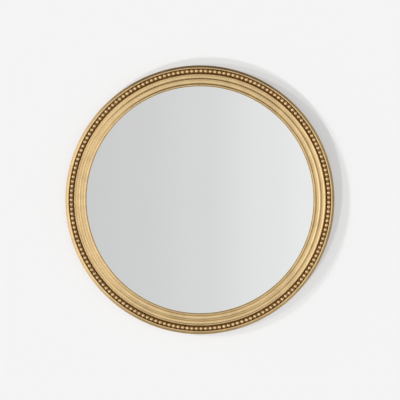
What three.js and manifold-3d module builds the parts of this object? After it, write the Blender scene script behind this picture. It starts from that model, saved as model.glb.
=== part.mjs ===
// A round convex butler's mirror in a gilded, beaded frame. Millimetres, +Z up, front towards -Y.
//
// The origin is on the mirror's axis, in the plane of the wall that it hangs on. Every piece is
// modelled in bench space, where the frame lies on its back: X is to the viewer's right, Y is up
// when hung, and Z is the height above the frame's back face. The last group stands it on the wall.
import * as THREE from "three";
import { mergeVertices } from "three/addons/utils/BufferGeometryUtils.js";
import Module from "manifold-3d";

const wasm = await Module();
wasm.setup();

// ---------------------------------------------------------------- general

const SEAT_GAP = 0.3; // between two pieces that touch or are glued on the real mirror
const TURNING_STEPS = 88; // facets round a large turned piece
const HOLE_SEGMENTS = 5; // in each half of a round hole
const RIGHT_ANGLE = Math.PI / 2;

// ---------------------------------------------------------------- frame moulding

// Widths, measured outwards from the sight edge, which is where the glass appears.
const SIGHT_RADIUS = 212;
const LIP_WIDTH = 1.5;
const INNER_COVE_WIDTH = 9.7;
const OUTER_COVE_WIDTH = 9.9;
const BEAD_INNER_GAP = 2.2; // from the beads to the channel's inner edge
const BEAD_OUTER_GAP = 1.5; // from the beads to the channel's outer edge
const RIM_WIDTH = 0.8;
const SHOULDER_WIDTH = 5;
const SIDE_TAPER = 2.5; // how far the side draws in towards the wall

// Steps in height, each from the form before it, starting at the underside of the lip.
const LIP_THICKNESS = 1.4; // at the sight edge
const LIP_RISE = 2.4;
const INNER_COVE_RISE = -1.1;
const OUTER_COVE_RISE = -1;
const CHANNEL_DEPTH = 3.8; // below the outer crest
const RIM_RISE = 1.5; // above the outer crest
const SHOULDER_DROP = 7.5; // from the rim down to the widest point of the side

// Small forms of the moulding.
const RISER_DROP = 2.6; // from a crest down into the next cove
const RISER_RUN = 2.7;
const CREST_WIDTH = 0.8; // of the flat on the lip and on the inner crest
const OUTER_CREST_WIDTH = 1.2; // of the flat beside the channel
const CHANNEL_WALL_RUN = 1.5;
const BACK_CHAMFER = 1.2;
const REBATE_WIDTH = 5; // of the step behind the lip, which holds the glass and the board
const COVE_STEPS = 4;
const COVE_BEND = 3; // the power of the hollow's curve, which steepens towards its crest
const SHOULDER_STEPS = 3;
const SHOULDER_TURN = THREE.MathUtils.degToRad(60); // from the side up to the rim

// ---------------------------------------------------------------- glass and what packs it in

const GLASS_CURVE_RADIUS = 900;
const GLASS_THICKNESS = 3;
const GLASS_EDGE_CLEARANCE = 1;
const GLASS_STEPS = 5; // rings from the centre to the edge
const TAPE_SPACE = 1.2; // from the lip's underside to the glass, at the sight edge
const TAPE_INSET = 0.5; // from the sight edge to the tape
const TAPE_CLEARANCE = 1.5; // from the tape to the rebate's wall
const PACKING_WIDTH = 11.5;
const PACKING_HEIGHT = 3.7; // at its outer edge
const PACKING_CLEARANCE = 2; // from the rebate's wall to the packing
const BOARD_THICKNESS = 3;
const BOARD_RECESS = 0.4; // how far the board lies below the frame's back face
const BOARD_EDGE_CLEARANCE = 0.8;

// ---------------------------------------------------------------- beading

const BEAD_DIAMETER = 7.4;
const BEAD_SPACING = 1.18; // between two neighbours
const BEAD_RISE = 1.5; // from the strip's flat back to the beads' centres
const NECK_RADIUS = 1.6; // of the web between two beads
const BEAD_SIDES = 6;
const BEAD_STATIONS = [0, 0.24, 0.76]; // where a bead is measured along its pitch
const STRIP_COUNT = 5; // pressed lengths laid end to end

// ---------------------------------------------------------------- fixings

const SCREW_SIDES = 8;
const SCREW_SHANK_RADIUS = 1.5;
const SCREW_HEAD_RADIUS = 3;
const SCREW_HEAD_HEIGHT = 1.9;
const SCREW_HEAD_SIDE = 0.7; // the straight side of the head, under its rounded top
const SCREW_CROWN_RADIUS = 1.9; // the flat on top of the head
const SCREW_GRIP = 8; // length of shank in the frame
const SCREW_TIP_LENGTH = 3;
const PILOT_CLEARANCE = 1; // past the tip
const RECESS_WIDTH = 0.9; // the cross in the head
const RECESS_LENGTH = 3;
const RECESS_DEPTH = 1.1;

const BUTTON_COUNT = 6;
const BUTTON_THICKNESS = 1.2;
const BUTTON_PIVOT_INSET = 9; // from the rebate's wall out to the pivot
const BUTTON_OVERLAP = 8; // from the rebate's wall in over the board
const BUTTON_PIVOT_END_RADIUS = 6;
const BUTTON_TIP_RADIUS = 4;
const BUTTON_ARC_STEPS = 8;

const HANGER_ANGLE = THREE.MathUtils.degToRad(22); // above the mirror's middle, on each side
const HANGER_INSET = 3.7; // of each strap towards the mirror's middle
const STRAP_WIDTH = 12;
const STRAP_LENGTH = 30; // from the eye's axis to the foot
const STRAP_SHEET = 0.8; // one layer of the folded sheet
const STRAP_FOOT_MARGIN = 6.5; // from the foot to the nearest screw
const EYE_CLEARANCE = 0.35;
const EYE_STEPS = 14;

const WIRE_RADIUS = 1.25;
const D_SIDE_GAP = 2.75; // from the strap's edge to the wire
const D_HEIGHT = 15; // to the middle of the wire
const D_CORNER_RADIUS = 3;
const D_CORNER_STEPS = 3;
const D_BOW_STEPS = 12;
const WIRE_STEPS = 28;
const WIRE_SIDES = 8;

const BUMPER_RADIUS = 8;
const BUMPER_HEIGHT = 6;
const BUMPER_FLAT_RADIUS = 5; // the face against the wall
const BUMPER_FOOT_HEIGHT = 2; // the straight side next to the frame
const BUMPER_ARC_STEPS = 3;
const BUMPER_SIDES = 16;
const BUMPER_ANGLES = [45, 135, 225, 315].map(THREE.MathUtils.degToRad);

// ---------------------------------------------------------------- sizes that follow

const lipCrestRadius = SIGHT_RADIUS + LIP_WIDTH;
const innerCrestRadius = lipCrestRadius + INNER_COVE_WIDTH;
const outerCrestRadius = innerCrestRadius + OUTER_COVE_WIDTH;
const beadCircleRadius = outerCrestRadius + BEAD_INNER_GAP + BEAD_DIAMETER / 2;
const rimInnerRadius = beadCircleRadius + BEAD_DIAMETER / 2 + BEAD_OUTER_GAP;
const rimOuterRadius = rimInnerRadius + RIM_WIDTH;
const outerRadius = rimOuterRadius + SHOULDER_WIDTH;
const backRadius = outerRadius - SIDE_TAPER;
const rebateRadius = SIGHT_RADIUS + REBATE_WIDTH;
const backMidRadius = (rebateRadius + backRadius) / 2;

// From the back: the board, the packing on it, the glass on the packing, and the lip over them.
const sphereHeight = (sphereRadius, radius) => Math.sqrt(sphereRadius ** 2 - radius ** 2);
const boardFrontHeight = BOARD_RECESS + BOARD_THICKNESS;
const packingRadius = rebateRadius - PACKING_CLEARANCE;
const glassRadius = rebateRadius - GLASS_EDGE_CLEARANCE;
const glassBackRadius = GLASS_CURVE_RADIUS - GLASS_THICKNESS;
const glassCentreHeight =
  boardFrontHeight + SEAT_GAP + PACKING_HEIGHT + SEAT_GAP - sphereHeight(glassBackRadius, packingRadius);
const glassFront = (radius) => glassCentreHeight + sphereHeight(GLASS_CURVE_RADIUS, radius);
const glassBack = (radius) => glassCentreHeight + sphereHeight(glassBackRadius, radius);

const rebateHeight = glassFront(SIGHT_RADIUS) + TAPE_SPACE;
const sightEdgeHeight = rebateHeight + LIP_THICKNESS;
const lipCrestHeight = sightEdgeHeight + LIP_RISE;
const innerCrestHeight = lipCrestHeight + INNER_COVE_RISE;
const outerCrestHeight = innerCrestHeight + OUTER_COVE_RISE;
const channelFloorHeight = outerCrestHeight - CHANNEL_DEPTH;
const rimHeight = outerCrestHeight + RIM_RISE;

const beadPitch = BEAD_DIAMETER + BEAD_SPACING;
const beadsPerStrip = Math.round((2 * Math.PI * beadCircleRadius) / beadPitch / STRIP_COUNT);

const strapThickness = 2 * STRAP_SHEET;
const eyeBoreRadius = WIRE_RADIUS + EYE_CLEARANCE;
const eyeOuterRadius = eyeBoreRadius + STRAP_SHEET;
const eyeDepth = SEAT_GAP + eyeOuterRadius; // of the eye's axis, behind the frame's back face
const dHalfWidth = STRAP_WIDTH / 2 + D_SIDE_GAP + WIRE_RADIUS;
const wallGap = BUMPER_HEIGHT + SEAT_GAP;

// ---------------------------------------------------------------- finishes

const finish = (color, metalness, roughness) =>
  new THREE.MeshStandardMaterial({ color, metalness, roughness });
const gilding = finish(0xd9bd8a, 0.6, 0.42);
const beadGilding = finish(0xc79a5c, 0.6, 0.38);
const silveredGlass = finish(0xd5d8d7, 1, 0.03);
const foam = finish(0x2b2b2c, 0, 0.95);
const cork = finish(0xa98259, 0, 0.9);
const fibreboard = finish(0x7a5a3c, 0, 0.85);
const brassPlate = finish(0xb79a5b, 1, 0.35);
const zincPlate = finish(0xb9bcc0, 1, 0.4);
const rubber = finish(0x202022, 0, 0.8);

// ---------------------------------------------------------------- making solids

// A closed geometry as a solid that can be joined and cut.
function solidOf(geometry) {
  const bare = geometry.clone();
  bare.deleteAttribute("normal");
  bare.deleteAttribute("uv");
  const merged = mergeVertices(bare, 1e-3);
  const mesh = new wasm.Mesh({
    numProp: 3,
    vertProperties: new Float32Array(merged.attributes.position.array),
    triVerts: new Uint32Array(merged.index.array),
  });
  return new wasm.Manifold(mesh);
}

function geometryOf(solid) {
  const { numProp, vertProperties, triVerts } = solid.getMesh();
  const count = vertProperties.length / numProp;
  const positions = new Float32Array(count * 3);
  for (let i = 0; i < count; i += 1) {
    positions.set(vertProperties.subarray(i * numProp, i * numProp + 3), i * 3);
  }
  const geometry = new THREE.BufferGeometry();
  geometry.setAttribute("position", new THREE.BufferAttribute(positions, 3));
  geometry.setIndex(new THREE.BufferAttribute(new Uint32Array(triVerts), 1));
  geometry.computeVertexNormals();
  return geometry;
}

function cut(geometry, cutters) {
  const solid = cutters.reduce((left, cutter) => left.subtract(solidOf(cutter)), solidOf(geometry));
  return geometryOf(solid);
}

// Turns an outline of [radius, height] points about the Z axis. A ring's outline closes on itself,
// and a disc's starts and ends on the axis.
function turned(outline, steps = TURNING_STEPS) {
  const points = outline.map(([radius, height]) => new THREE.Vector2(radius, height));
  if (THREE.ShapeUtils.area(points) < 0) points.reverse();
  const isRing = points.every((point) => point.x > 0);
  if (isRing) points.push(points[0].clone());
  return new THREE.LatheGeometry(points, steps).rotateX(RIGHT_ANGLE);
}

// Points on part of an ellipse, angles in radians, both ends included.
function ellipseArc([centreX, centreY], [radiusX, radiusY], from, to, steps) {
  return Array.from({ length: steps + 1 }, (_, i) => {
    const angle = from + ((to - from) * i) / steps;
    return [centreX + radiusX * Math.cos(angle), centreY + radiusY * Math.sin(angle)];
  });
}

// A flat outline of [x, y] points, run anticlockwise, with round holes of [x, y, radius].
function outlineShape(points, holes = []) {
  const corners = points.map(([x, y]) => new THREE.Vector2(x, y));
  if (THREE.ShapeUtils.area(corners) < 0) corners.reverse();
  const shape = new THREE.Shape(corners);
  for (const [x, y, radius] of holes) {
    shape.holes.push(new THREE.Path().absarc(x, y, radius, 0, 2 * Math.PI, true));
  }
  return shape;
}

function extruded(shape, depth) {
  return new THREE.ExtrudeGeometry(shape, { depth, bevelEnabled: false, curveSegments: HOLE_SEGMENTS });
}

// A straight round cutter along Z.
function drill(x, y, radius, low, high) {
  const cylinder = new THREE.CylinderGeometry(radius, radius, high - low, SCREW_SIDES);
  return cylinder.rotateX(RIGHT_ANGLE).translate(x, y, (low + high) / 2);
}

const root = new THREE.Group();
// Stands the bench model on the wall: its height axis turns to face -Y.
root.rotation.x = RIGHT_ANGLE;
root.position.y = -wallGap;

function add(name, geometry, material, { at = [0, 0, 0], turn = 0 } = {}) {
  const mesh = new THREE.Mesh(geometry, material);
  mesh.name = name;
  mesh.position.set(...at);
  mesh.rotation.z = turn;
  root.add(mesh);
}

function onCircle(radius, angle, z = 0) {
  return [radius * Math.cos(angle), radius * Math.sin(angle), z];
}

// ---------------------------------------------------------------- where the fixings go

const buttonPivotRadius = rebateRadius + BUTTON_PIVOT_INSET;
const buttonSpots = Array.from({ length: BUTTON_COUNT }, (_, i) => {
  const angle = (i * 2 * Math.PI) / BUTTON_COUNT;
  return { angle, at: onCircle(buttonPivotRadius, angle) };
});

// Each strap lies a little inside the middle line of the frame's back face, so that its ring stays
// behind the frame.
const hangers = [
  { side: "left", angle: Math.PI - HANGER_ANGLE },
  { side: "right", angle: HANGER_ANGLE },
].map(({ side, angle }) => {
  const [across, middle] = onCircle(backMidRadius, angle);
  const x = across - Math.sign(across) * HANGER_INSET;
  return { side, x, eyeY: middle + STRAP_LENGTH / 2 };
});
// Below the eye: one inside the ring where it folds down over the strap, and one near the foot.
const strapScrewOffsets = [
  (eyeOuterRadius + D_HEIGHT - WIRE_RADIUS) / 2,
  STRAP_LENGTH - STRAP_FOOT_MARGIN,
];

const screwSpots = [
  ...buttonSpots.map(({ at: [x, y] }) => [x, y]),
  ...hangers.flatMap(({ x, eyeY }) => strapScrewOffsets.map((offset) => [x, eyeY - offset])),
];

// ---------------------------------------------------------------- frame ring

// One hollow and the riser inside it, from the outer crest inwards to the next crest.
function cove(outer, inner) {
  const crestEdge = inner.radius + inner.width / 2;
  const valleyRadius = crestEdge + RISER_RUN;
  const valleyHeight = inner.height - RISER_DROP;
  const run = outer.radius - outer.width / 2 - valleyRadius;
  const rise = outer.height - valleyHeight;
  const hollow = [];
  for (let step = COVE_STEPS; step >= 0; step--) {
    const share = step / COVE_STEPS;
    hollow.push([valleyRadius + share * run, valleyHeight + share ** COVE_BEND * rise]);
  }
  return [...hollow, [crestEdge, inner.height]];
}

// The side's rounded shoulder, from its widest point up to the rim.
function shoulderArc() {
  const across = SHOULDER_WIDTH / (1 - Math.cos(SHOULDER_TURN));
  const upwards = SHOULDER_DROP / Math.sin(SHOULDER_TURN);
  const centre = [outerRadius - across, rimHeight - SHOULDER_DROP];
  return ellipseArc(centre, [across, upwards], 0, SHOULDER_TURN, SHOULDER_STEPS);
}

function frameOutline() {
  const lipCrest = { radius: lipCrestRadius, width: CREST_WIDTH, height: lipCrestHeight };
  const innerCrest = { radius: innerCrestRadius, width: CREST_WIDTH, height: innerCrestHeight };
  const outerCrest = {
    radius: outerCrestRadius - OUTER_CREST_WIDTH / 2,
    width: OUTER_CREST_WIDTH,
    height: outerCrestHeight,
  };
  return [
    [rebateRadius, 0],
    [backRadius - BACK_CHAMFER, 0],
    [backRadius, BACK_CHAMFER],
    ...shoulderArc(),
    [rimInnerRadius, rimHeight],
    [rimInnerRadius - CHANNEL_WALL_RUN, channelFloorHeight],
    [outerCrestRadius + CHANNEL_WALL_RUN, channelFloorHeight],
    [outerCrestRadius, outerCrestHeight],
    ...cove(outerCrest, innerCrest),
    ...cove(innerCrest, lipCrest),
    [lipCrestRadius - CREST_WIDTH / 2, lipCrestHeight],
    [SIGHT_RADIUS, sightEdgeHeight],
    [SIGHT_RADIUS, rebateHeight],
    [rebateRadius, rebateHeight],
  ];
}

function frameRing() {
  const pilotRadius = SCREW_SHANK_RADIUS + SEAT_GAP;
  const depth = SCREW_GRIP + PILOT_CLEARANCE;
  const pilots = screwSpots.map(([x, y]) => drill(x, y, pilotRadius, -depth, depth));
  return cut(turned(frameOutline()), pilots);
}

// ---------------------------------------------------------------- beading

// The outline of a straight string of beads, with one unit of length to each bead.
function beadStringOutline() {
  const radiusAt = (share) => {
    const along = (share - 0.5) * beadPitch;
    return Math.max(NECK_RADIUS, Math.sqrt(Math.max(0, (BEAD_DIAMETER / 2) ** 2 - along ** 2)));
  };
  const outline = [[0, 0]];
  for (let bead = 0; bead < beadsPerStrip; bead += 1) {
    outline.push(...BEAD_STATIONS.map((share) => [radiusAt(share), bead + share]));
  }
  outline.push([NECK_RADIUS, beadsPerStrip], [0, beadsPerStrip]);
  return outline;
}

// One pressed length of beading: a straight string of beads with its back flattened, bent round
// the channel's circle.
function beadStrip(index) {
  const arc = (2 * Math.PI) / STRIP_COUNT;
  const endGap = SEAT_GAP / beadCircleRadius;
  const start = index * arc + endGap / 2;
  const step = (arc - endGap) / beadsPerStrip;
  const outline = beadStringOutline().map(([radius, along]) => new THREE.Vector2(radius, along));
  const strip = new THREE.LatheGeometry(outline, BEAD_SIDES);
  const points = strip.attributes.position;
  for (let i = 0; i < points.count; i += 1) {
    const angle = start + points.getY(i) * step;
    const height = Math.max(points.getZ(i), -BEAD_RISE);
    points.setXYZ(i, ...onCircle(beadCircleRadius + points.getX(i), angle, height));
  }
  return strip.translate(0, 0, channelFloorHeight + SEAT_GAP + BEAD_RISE);
}

// ---------------------------------------------------------------- glass, tape, packing and board

function mirrorGlass() {
  const radii = Array.from({ length: GLASS_STEPS + 1 }, (_, i) => (glassRadius * i) / GLASS_STEPS);
  const back = radii.map((radius) => [radius, glassBack(radius)]);
  const front = radii.map((radius) => [radius, glassFront(radius)]).reverse();
  return turned([...back, ...front]);
}

function glazingTape() {
  const inner = SIGHT_RADIUS + TAPE_INSET;
  const outer = rebateRadius - TAPE_CLEARANCE;
  const top = rebateHeight - SEAT_GAP;
  return turned([
    [inner, glassFront(inner) + SEAT_GAP],
    [outer, glassFront(outer) + SEAT_GAP],
    [outer, top],
    [inner, top],
  ]);
}

function packingRing() {
  const inner = packingRadius - PACKING_WIDTH;
  const foot = boardFrontHeight + SEAT_GAP;
  return turned([
    [inner, foot],
    [packingRadius, foot],
    [packingRadius, glassBack(packingRadius) - SEAT_GAP],
    [inner, glassBack(inner) - SEAT_GAP],
  ]);
}

function backingBoard() {
  const radius = rebateRadius - BOARD_EDGE_CLEARANCE;
  return turned([
    [0, BOARD_RECESS],
    [radius, BOARD_RECESS],
    [radius, boardFrontHeight],
    [0, boardFrontHeight],
  ]);
}

// ---------------------------------------------------------------- fixings

// A pan-head screw on its own axis. headSeat is the depth of the head's underside behind the back
// face, so the shank is that much longer than its grip in the frame.
function screw(headSeat) {
  const crown = -headSeat - SCREW_HEAD_HEIGHT;
  const neck = SCREW_GRIP - SCREW_TIP_LENGTH;
  const body = turned(
    [
      [0, crown],
      [SCREW_CROWN_RADIUS, crown],
      [SCREW_HEAD_RADIUS, -headSeat - SCREW_HEAD_SIDE],
      [SCREW_HEAD_RADIUS, -headSeat],
      [SCREW_SHANK_RADIUS, -headSeat],
      [SCREW_SHANK_RADIUS, neck],
      [0, SCREW_GRIP],
    ],
    SCREW_SIDES,
  );
  const slot = () => new THREE.BoxGeometry(RECESS_LENGTH, RECESS_WIDTH, 2 * RECESS_DEPTH);
  const cross = [0, RIGHT_ANGLE].map((angle) => slot().rotateZ(angle).translate(0, 0, crown));
  return cut(body, cross);
}

// A teardrop plate whose pivot is at its own origin and whose tip points along -X.
function turnButton() {
  const reach = BUTTON_PIVOT_INSET + BUTTON_OVERLAP - BUTTON_TIP_RADIUS;
  const lean = Math.asin((BUTTON_PIVOT_END_RADIUS - BUTTON_TIP_RADIUS) / reach);
  const half = RIGHT_ANGLE + lean;
  const round = (centre, radius, from, to) =>
    ellipseArc([centre, 0], [radius, radius], from, to, BUTTON_ARC_STEPS);
  const outline = [
    ...round(0, BUTTON_PIVOT_END_RADIUS, -half, half),
    ...round(-reach, BUTTON_TIP_RADIUS, half, 2 * Math.PI - half),
  ];
  const plate = outlineShape(outline, [[0, 0, SCREW_SHANK_RADIUS + SEAT_GAP]]);
  return extruded(plate, BUTTON_THICKNESS).translate(0, 0, -SEAT_GAP - BUTTON_THICKNESS);
}

// A sheet folded round the ring's straight side and screwed down through both layers. Its origin
// is on the eye's axis, at the frame's back face, and its foot points along -Y.
function hangerStrap() {
  const sheetTop = eyeOuterRadius - strapThickness;
  const meet = Math.acos(sheetTop / eyeOuterRadius);
  const end = RIGHT_ANGLE - 2 * Math.PI + meet;
  const around = ellipseArc([0, 0], [eyeOuterRadius, eyeOuterRadius], RIGHT_ANGLE, end, EYE_STEPS);
  const outline = [[-STRAP_LENGTH, eyeOuterRadius], ...around, [-STRAP_LENGTH, sheetTop]];
  const side = outlineShape(outline, [[0, 0, eyeBoreRadius]]);
  // The side view's X and Y become the model's Y and Z, and the extrusion runs along X.
  const strap = extruded(side, STRAP_WIDTH)
    .translate(0, 0, -STRAP_WIDTH / 2)
    .rotateX(RIGHT_ANGLE)
    .rotateZ(RIGHT_ANGLE)
    .translate(0, 0, -eyeDepth);
  const holes = strapScrewOffsets.map((offset) =>
    drill(0, -offset, SCREW_SHANK_RADIUS + SEAT_GAP, -2 * eyeDepth, 2 * eyeDepth),
  );
  return cut(strap, holes);
}

// The D-shaped ring, upright: a bent wire whose two ends meet in the strap's eye.
function dRing() {
  const straight = dHalfWidth - D_CORNER_RADIUS;
  const corner = [D_CORNER_RADIUS, D_CORNER_RADIUS];
  const bow = [dHalfWidth, D_HEIGHT - D_CORNER_RADIUS];
  const route = [
    [SEAT_GAP / 2, 0],
    [straight / 2, 0],
    ...ellipseArc([straight, D_CORNER_RADIUS], corner, -RIGHT_ANGLE, 0, D_CORNER_STEPS),
    ...ellipseArc([0, D_CORNER_RADIUS], bow, 0, Math.PI, D_BOW_STEPS).slice(1, -1),
    ...ellipseArc([-straight, D_CORNER_RADIUS], corner, Math.PI, 3 * RIGHT_ANGLE, D_CORNER_STEPS),
    [-straight / 2, 0],
    [-SEAT_GAP / 2, 0],
  ].map(([x, y]) => new THREE.Vector3(x, y, -eyeDepth));
  return new THREE.ExtrudeGeometry(new THREE.Shape().absarc(0, 0, WIRE_RADIUS, 0, 2 * Math.PI), {
    extrudePath: new THREE.CatmullRomCurve3(route, false, "centripetal"),
    steps: WIRE_STEPS,
    curveSegments: WIRE_SIDES / 2,
  });
}

// A rubber foot stuck to the frame's back, with its edge rounded over towards the wall.
function bumper() {
  const shoulder = SEAT_GAP + BUMPER_FOOT_HEIGHT;
  const edge = [BUMPER_RADIUS - BUMPER_FLAT_RADIUS, BUMPER_HEIGHT - BUMPER_FOOT_HEIGHT];
  const rounded = ellipseArc(
    [BUMPER_FLAT_RADIUS, -shoulder],
    edge,
    -RIGHT_ANGLE,
    0,
    BUMPER_ARC_STEPS,
  );
  return turned([[0, -wallGap], ...rounded, [BUMPER_RADIUS, -SEAT_GAP], [0, -SEAT_GAP]], BUMPER_SIDES);
}

// ---------------------------------------------------------------- assembly

add("frame_ring", frameRing(), gilding);
for (let i = 0; i < STRIP_COUNT; i += 1) {
  add(`bead_strip_${i + 1}`, beadStrip(i), beadGilding);
}

add("mirror_glass", mirrorGlass(), silveredGlass);
add("glazing_tape", glazingTape(), foam);
add("packing_ring", packingRing(), cork);
add("backing_board", backingBoard(), fibreboard);

const buttonScrewSeat = SEAT_GAP + BUTTON_THICKNESS + SEAT_GAP;
buttonSpots.forEach(({ angle, at }, i) => {
  add(`turn_button_${i + 1}`, turnButton(), brassPlate, { at, turn: angle });
  add(`turn_button_screw_${i + 1}`, screw(buttonScrewSeat), brassPlate, { at, turn: angle });
});

const strapScrewSeat = SEAT_GAP + strapThickness + SEAT_GAP;
for (const { side, x, eyeY } of hangers) {
  const at = [x, eyeY, 0];
  add(`hanger_strap_${side}`, hangerStrap(), zincPlate, { at });
  add(`d_ring_${side}`, dRing(), zincPlate, { at });
  strapScrewOffsets.forEach((offset, i) => {
    const place = ["upper", "lower"][i];
    const spot = [x, eyeY - offset, 0];
    add(`hanger_screw_${side}_${place}`, screw(strapScrewSeat), zincPlate, { at: spot });
  });
}

BUMPER_ANGLES.forEach((angle, i) => {
  add(`wall_bumper_${i + 1}`, bumper(), rubber, { at: onCircle(backMidRadius, angle) });
});

export default root;
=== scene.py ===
import math
import random

import bmesh
import bpy
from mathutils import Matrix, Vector


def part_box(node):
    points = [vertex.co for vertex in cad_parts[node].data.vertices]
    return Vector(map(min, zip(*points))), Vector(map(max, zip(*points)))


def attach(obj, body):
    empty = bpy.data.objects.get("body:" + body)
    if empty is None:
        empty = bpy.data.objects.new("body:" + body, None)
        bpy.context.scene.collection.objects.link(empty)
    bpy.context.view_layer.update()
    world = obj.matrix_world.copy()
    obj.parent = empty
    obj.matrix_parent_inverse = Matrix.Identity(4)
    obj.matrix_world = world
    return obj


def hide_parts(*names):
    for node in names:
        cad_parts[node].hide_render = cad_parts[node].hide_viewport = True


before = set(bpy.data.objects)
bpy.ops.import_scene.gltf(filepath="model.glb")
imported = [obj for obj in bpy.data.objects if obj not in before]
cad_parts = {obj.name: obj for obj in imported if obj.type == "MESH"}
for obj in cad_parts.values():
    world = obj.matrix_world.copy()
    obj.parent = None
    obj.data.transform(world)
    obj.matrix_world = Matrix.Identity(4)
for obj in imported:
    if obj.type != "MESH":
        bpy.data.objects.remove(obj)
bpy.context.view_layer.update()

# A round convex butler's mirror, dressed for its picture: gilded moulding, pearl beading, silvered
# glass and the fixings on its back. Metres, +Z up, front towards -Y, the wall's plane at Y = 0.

bl_info = {
    "name": "Convex Butler's Mirror",
    "version": (1, 0, 0),
    "blender": (4, 5, 0),
    "location": "View3D > Sidebar > Mirror",
    "description": "Models a gilded, beaded convex mirror with its fixings, finishes and studio",
    "category": "Add Mesh",
}

MM = 0.001
RIGHT_ANGLE = math.pi / 2
FULL_TURN = 2 * math.pi

# --- the solids' own places

BACK_PLANE = -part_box("frame_ring")[1][1]  # from the wall to the frame's back face
SEAT_GAP = 0.3 * MM  # between two pieces that touch or are glued
BEAD_LENGTHS = 5
BEADS_IN_LENGTH = 35
BUTTONS = 6
BUMPER_TURNS = [math.radians(turn) for turn in (45, 135, 225, 315)]


def lying(radius, height, turn=0.0):
    """A point at this distance from the axis and height above the frame's back face."""
    return Vector((radius * math.cos(turn), -BACK_PLANE - height, radius * math.sin(turn)))


# --- settings


def length(name, about, default):
    return bpy.props.FloatProperty(
        name=name, description=about, default=default, min=0.0, unit="LENGTH", precision=4
    )


def share(name, about, default, most=1.0):
    return bpy.props.FloatProperty(name=name, description=about, default=default, min=0.0, max=most)


def colour(name, about, default):
    return bpy.props.FloatVectorProperty(
        name=name, description=about, default=default, size=3, min=0.0, max=1.0, subtype="COLOR"
    )


class MouldingSizes(bpy.types.PropertyGroup):
    """The frame's section, from the sight edge outwards."""

    sight_radius: length("Sight radius", "Where the glass appears", 212 * MM)
    lip_width: length("Lip width", "From the sight edge to the lip's crest", 1.5 * MM)
    inner_cove_width: length("Inner cove width", "From the lip's crest to the middle one", 9.7 * MM)
    outer_cove_width: length("Outer cove width", "From the middle crest to the channel", 9.6 * MM)
    channel_width: length("Channel width", "Of the groove that the beads lie in", 11.0 * MM)
    rim_width: length("Rim width", "Of the flat outside the channel", 1.2 * MM)
    shoulder_width: length("Shoulder width", "From the rim to the widest point", 5 * MM)
    crest_width: length("Crest width", "Of the flat on the lip and the middle crest", 0.8 * MM)
    outer_crest_width: length("Outer crest width", "Of the flat beside the channel", 0.9 * MM)
    riser_run: length("Riser run", "Of the slope from a crest down into the next cove", 2.7 * MM)
    riser_drop: length("Riser drop", "From a crest down into the next cove", 2.6 * MM)
    rebate_height: length("Rebate height", "Of the lip's underside", 12.53 * MM)
    lip_thickness: length("Lip thickness", "At the sight edge", 1.4 * MM)
    lip_rise: length("Lip rise", "From the sight edge to the lip's crest", 2.4 * MM)
    inner_cove_rise: length("Inner cove rise", "From the lip's crest to the middle one", -1.1 * MM)
    outer_cove_rise: length("Outer cove rise", "From the middle crest to the channel", -1.0 * MM)
    channel_depth: length("Channel depth", "Below the outer crest", 3.8 * MM)
    brink: length("Brink", "Of the even slope at the top of the channel's inner wall", 1.9 * MM)
    inner_wall_run: length("Inner wall run", "From the channel's inner edge to its floor", 2.2 * MM)
    outer_wall_run: length("Outer wall run", "From the channel's outer edge to its floor", 1.1 * MM)
    rim_rise: length("Rim rise", "Above the outer crest", 1.5 * MM)
    shoulder_drop: length("Shoulder drop", "From the rim to the widest point", 7.5 * MM)
    side_taper: length("Side taper", "How far the side draws in to the back", 2.5 * MM)
    back_chamfer: length("Back chamfer", "On the back's outer edge", 1.2 * MM)
    rebate_width: length("Rebate width", "Of the step that holds glass and board", 5 * MM)


class BeadingSizes(bpy.types.PropertyGroup):
    """The pearl beading."""

    bead: length("Bead", "Diameter of one bead", 7.4 * MM)
    bead_circle: length("Bead circle", "Radius of the beads' middle line", 239.3 * MM)
    strip_back: length("Strip back", "Height of the strips' flat back", 10.73 * MM)
    bead_rise: length("Bead rise", "From the flat back to the beads' middle", 1.5 * MM)
    web: length("Web", "Half the width of the web between beads", 1.6 * MM)
    unevenness: share("Unevenness", "How much the beads differ in size", 0.035)


class GlassSizes(bpy.types.PropertyGroup):
    """The domed glass and the board behind it."""

    curve: length("Curve", "Radius of the dome's front", 900 * MM)
    thickness: length("Thickness", "Of the glass", 3 * MM)
    glass_radius: length("Glass radius", "Of the cut glass", 216 * MM)
    apex: length("Apex", "Height of the dome's middle", 36.85 * MM)
    board_radius: length("Board radius", "Of the backing board", 216.2 * MM)
    board_recess: length("Board recess", "Below the frame's back face", 0.4 * MM)
    board_thickness: length("Board thickness", "Of the backing board", 3 * MM)


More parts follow.
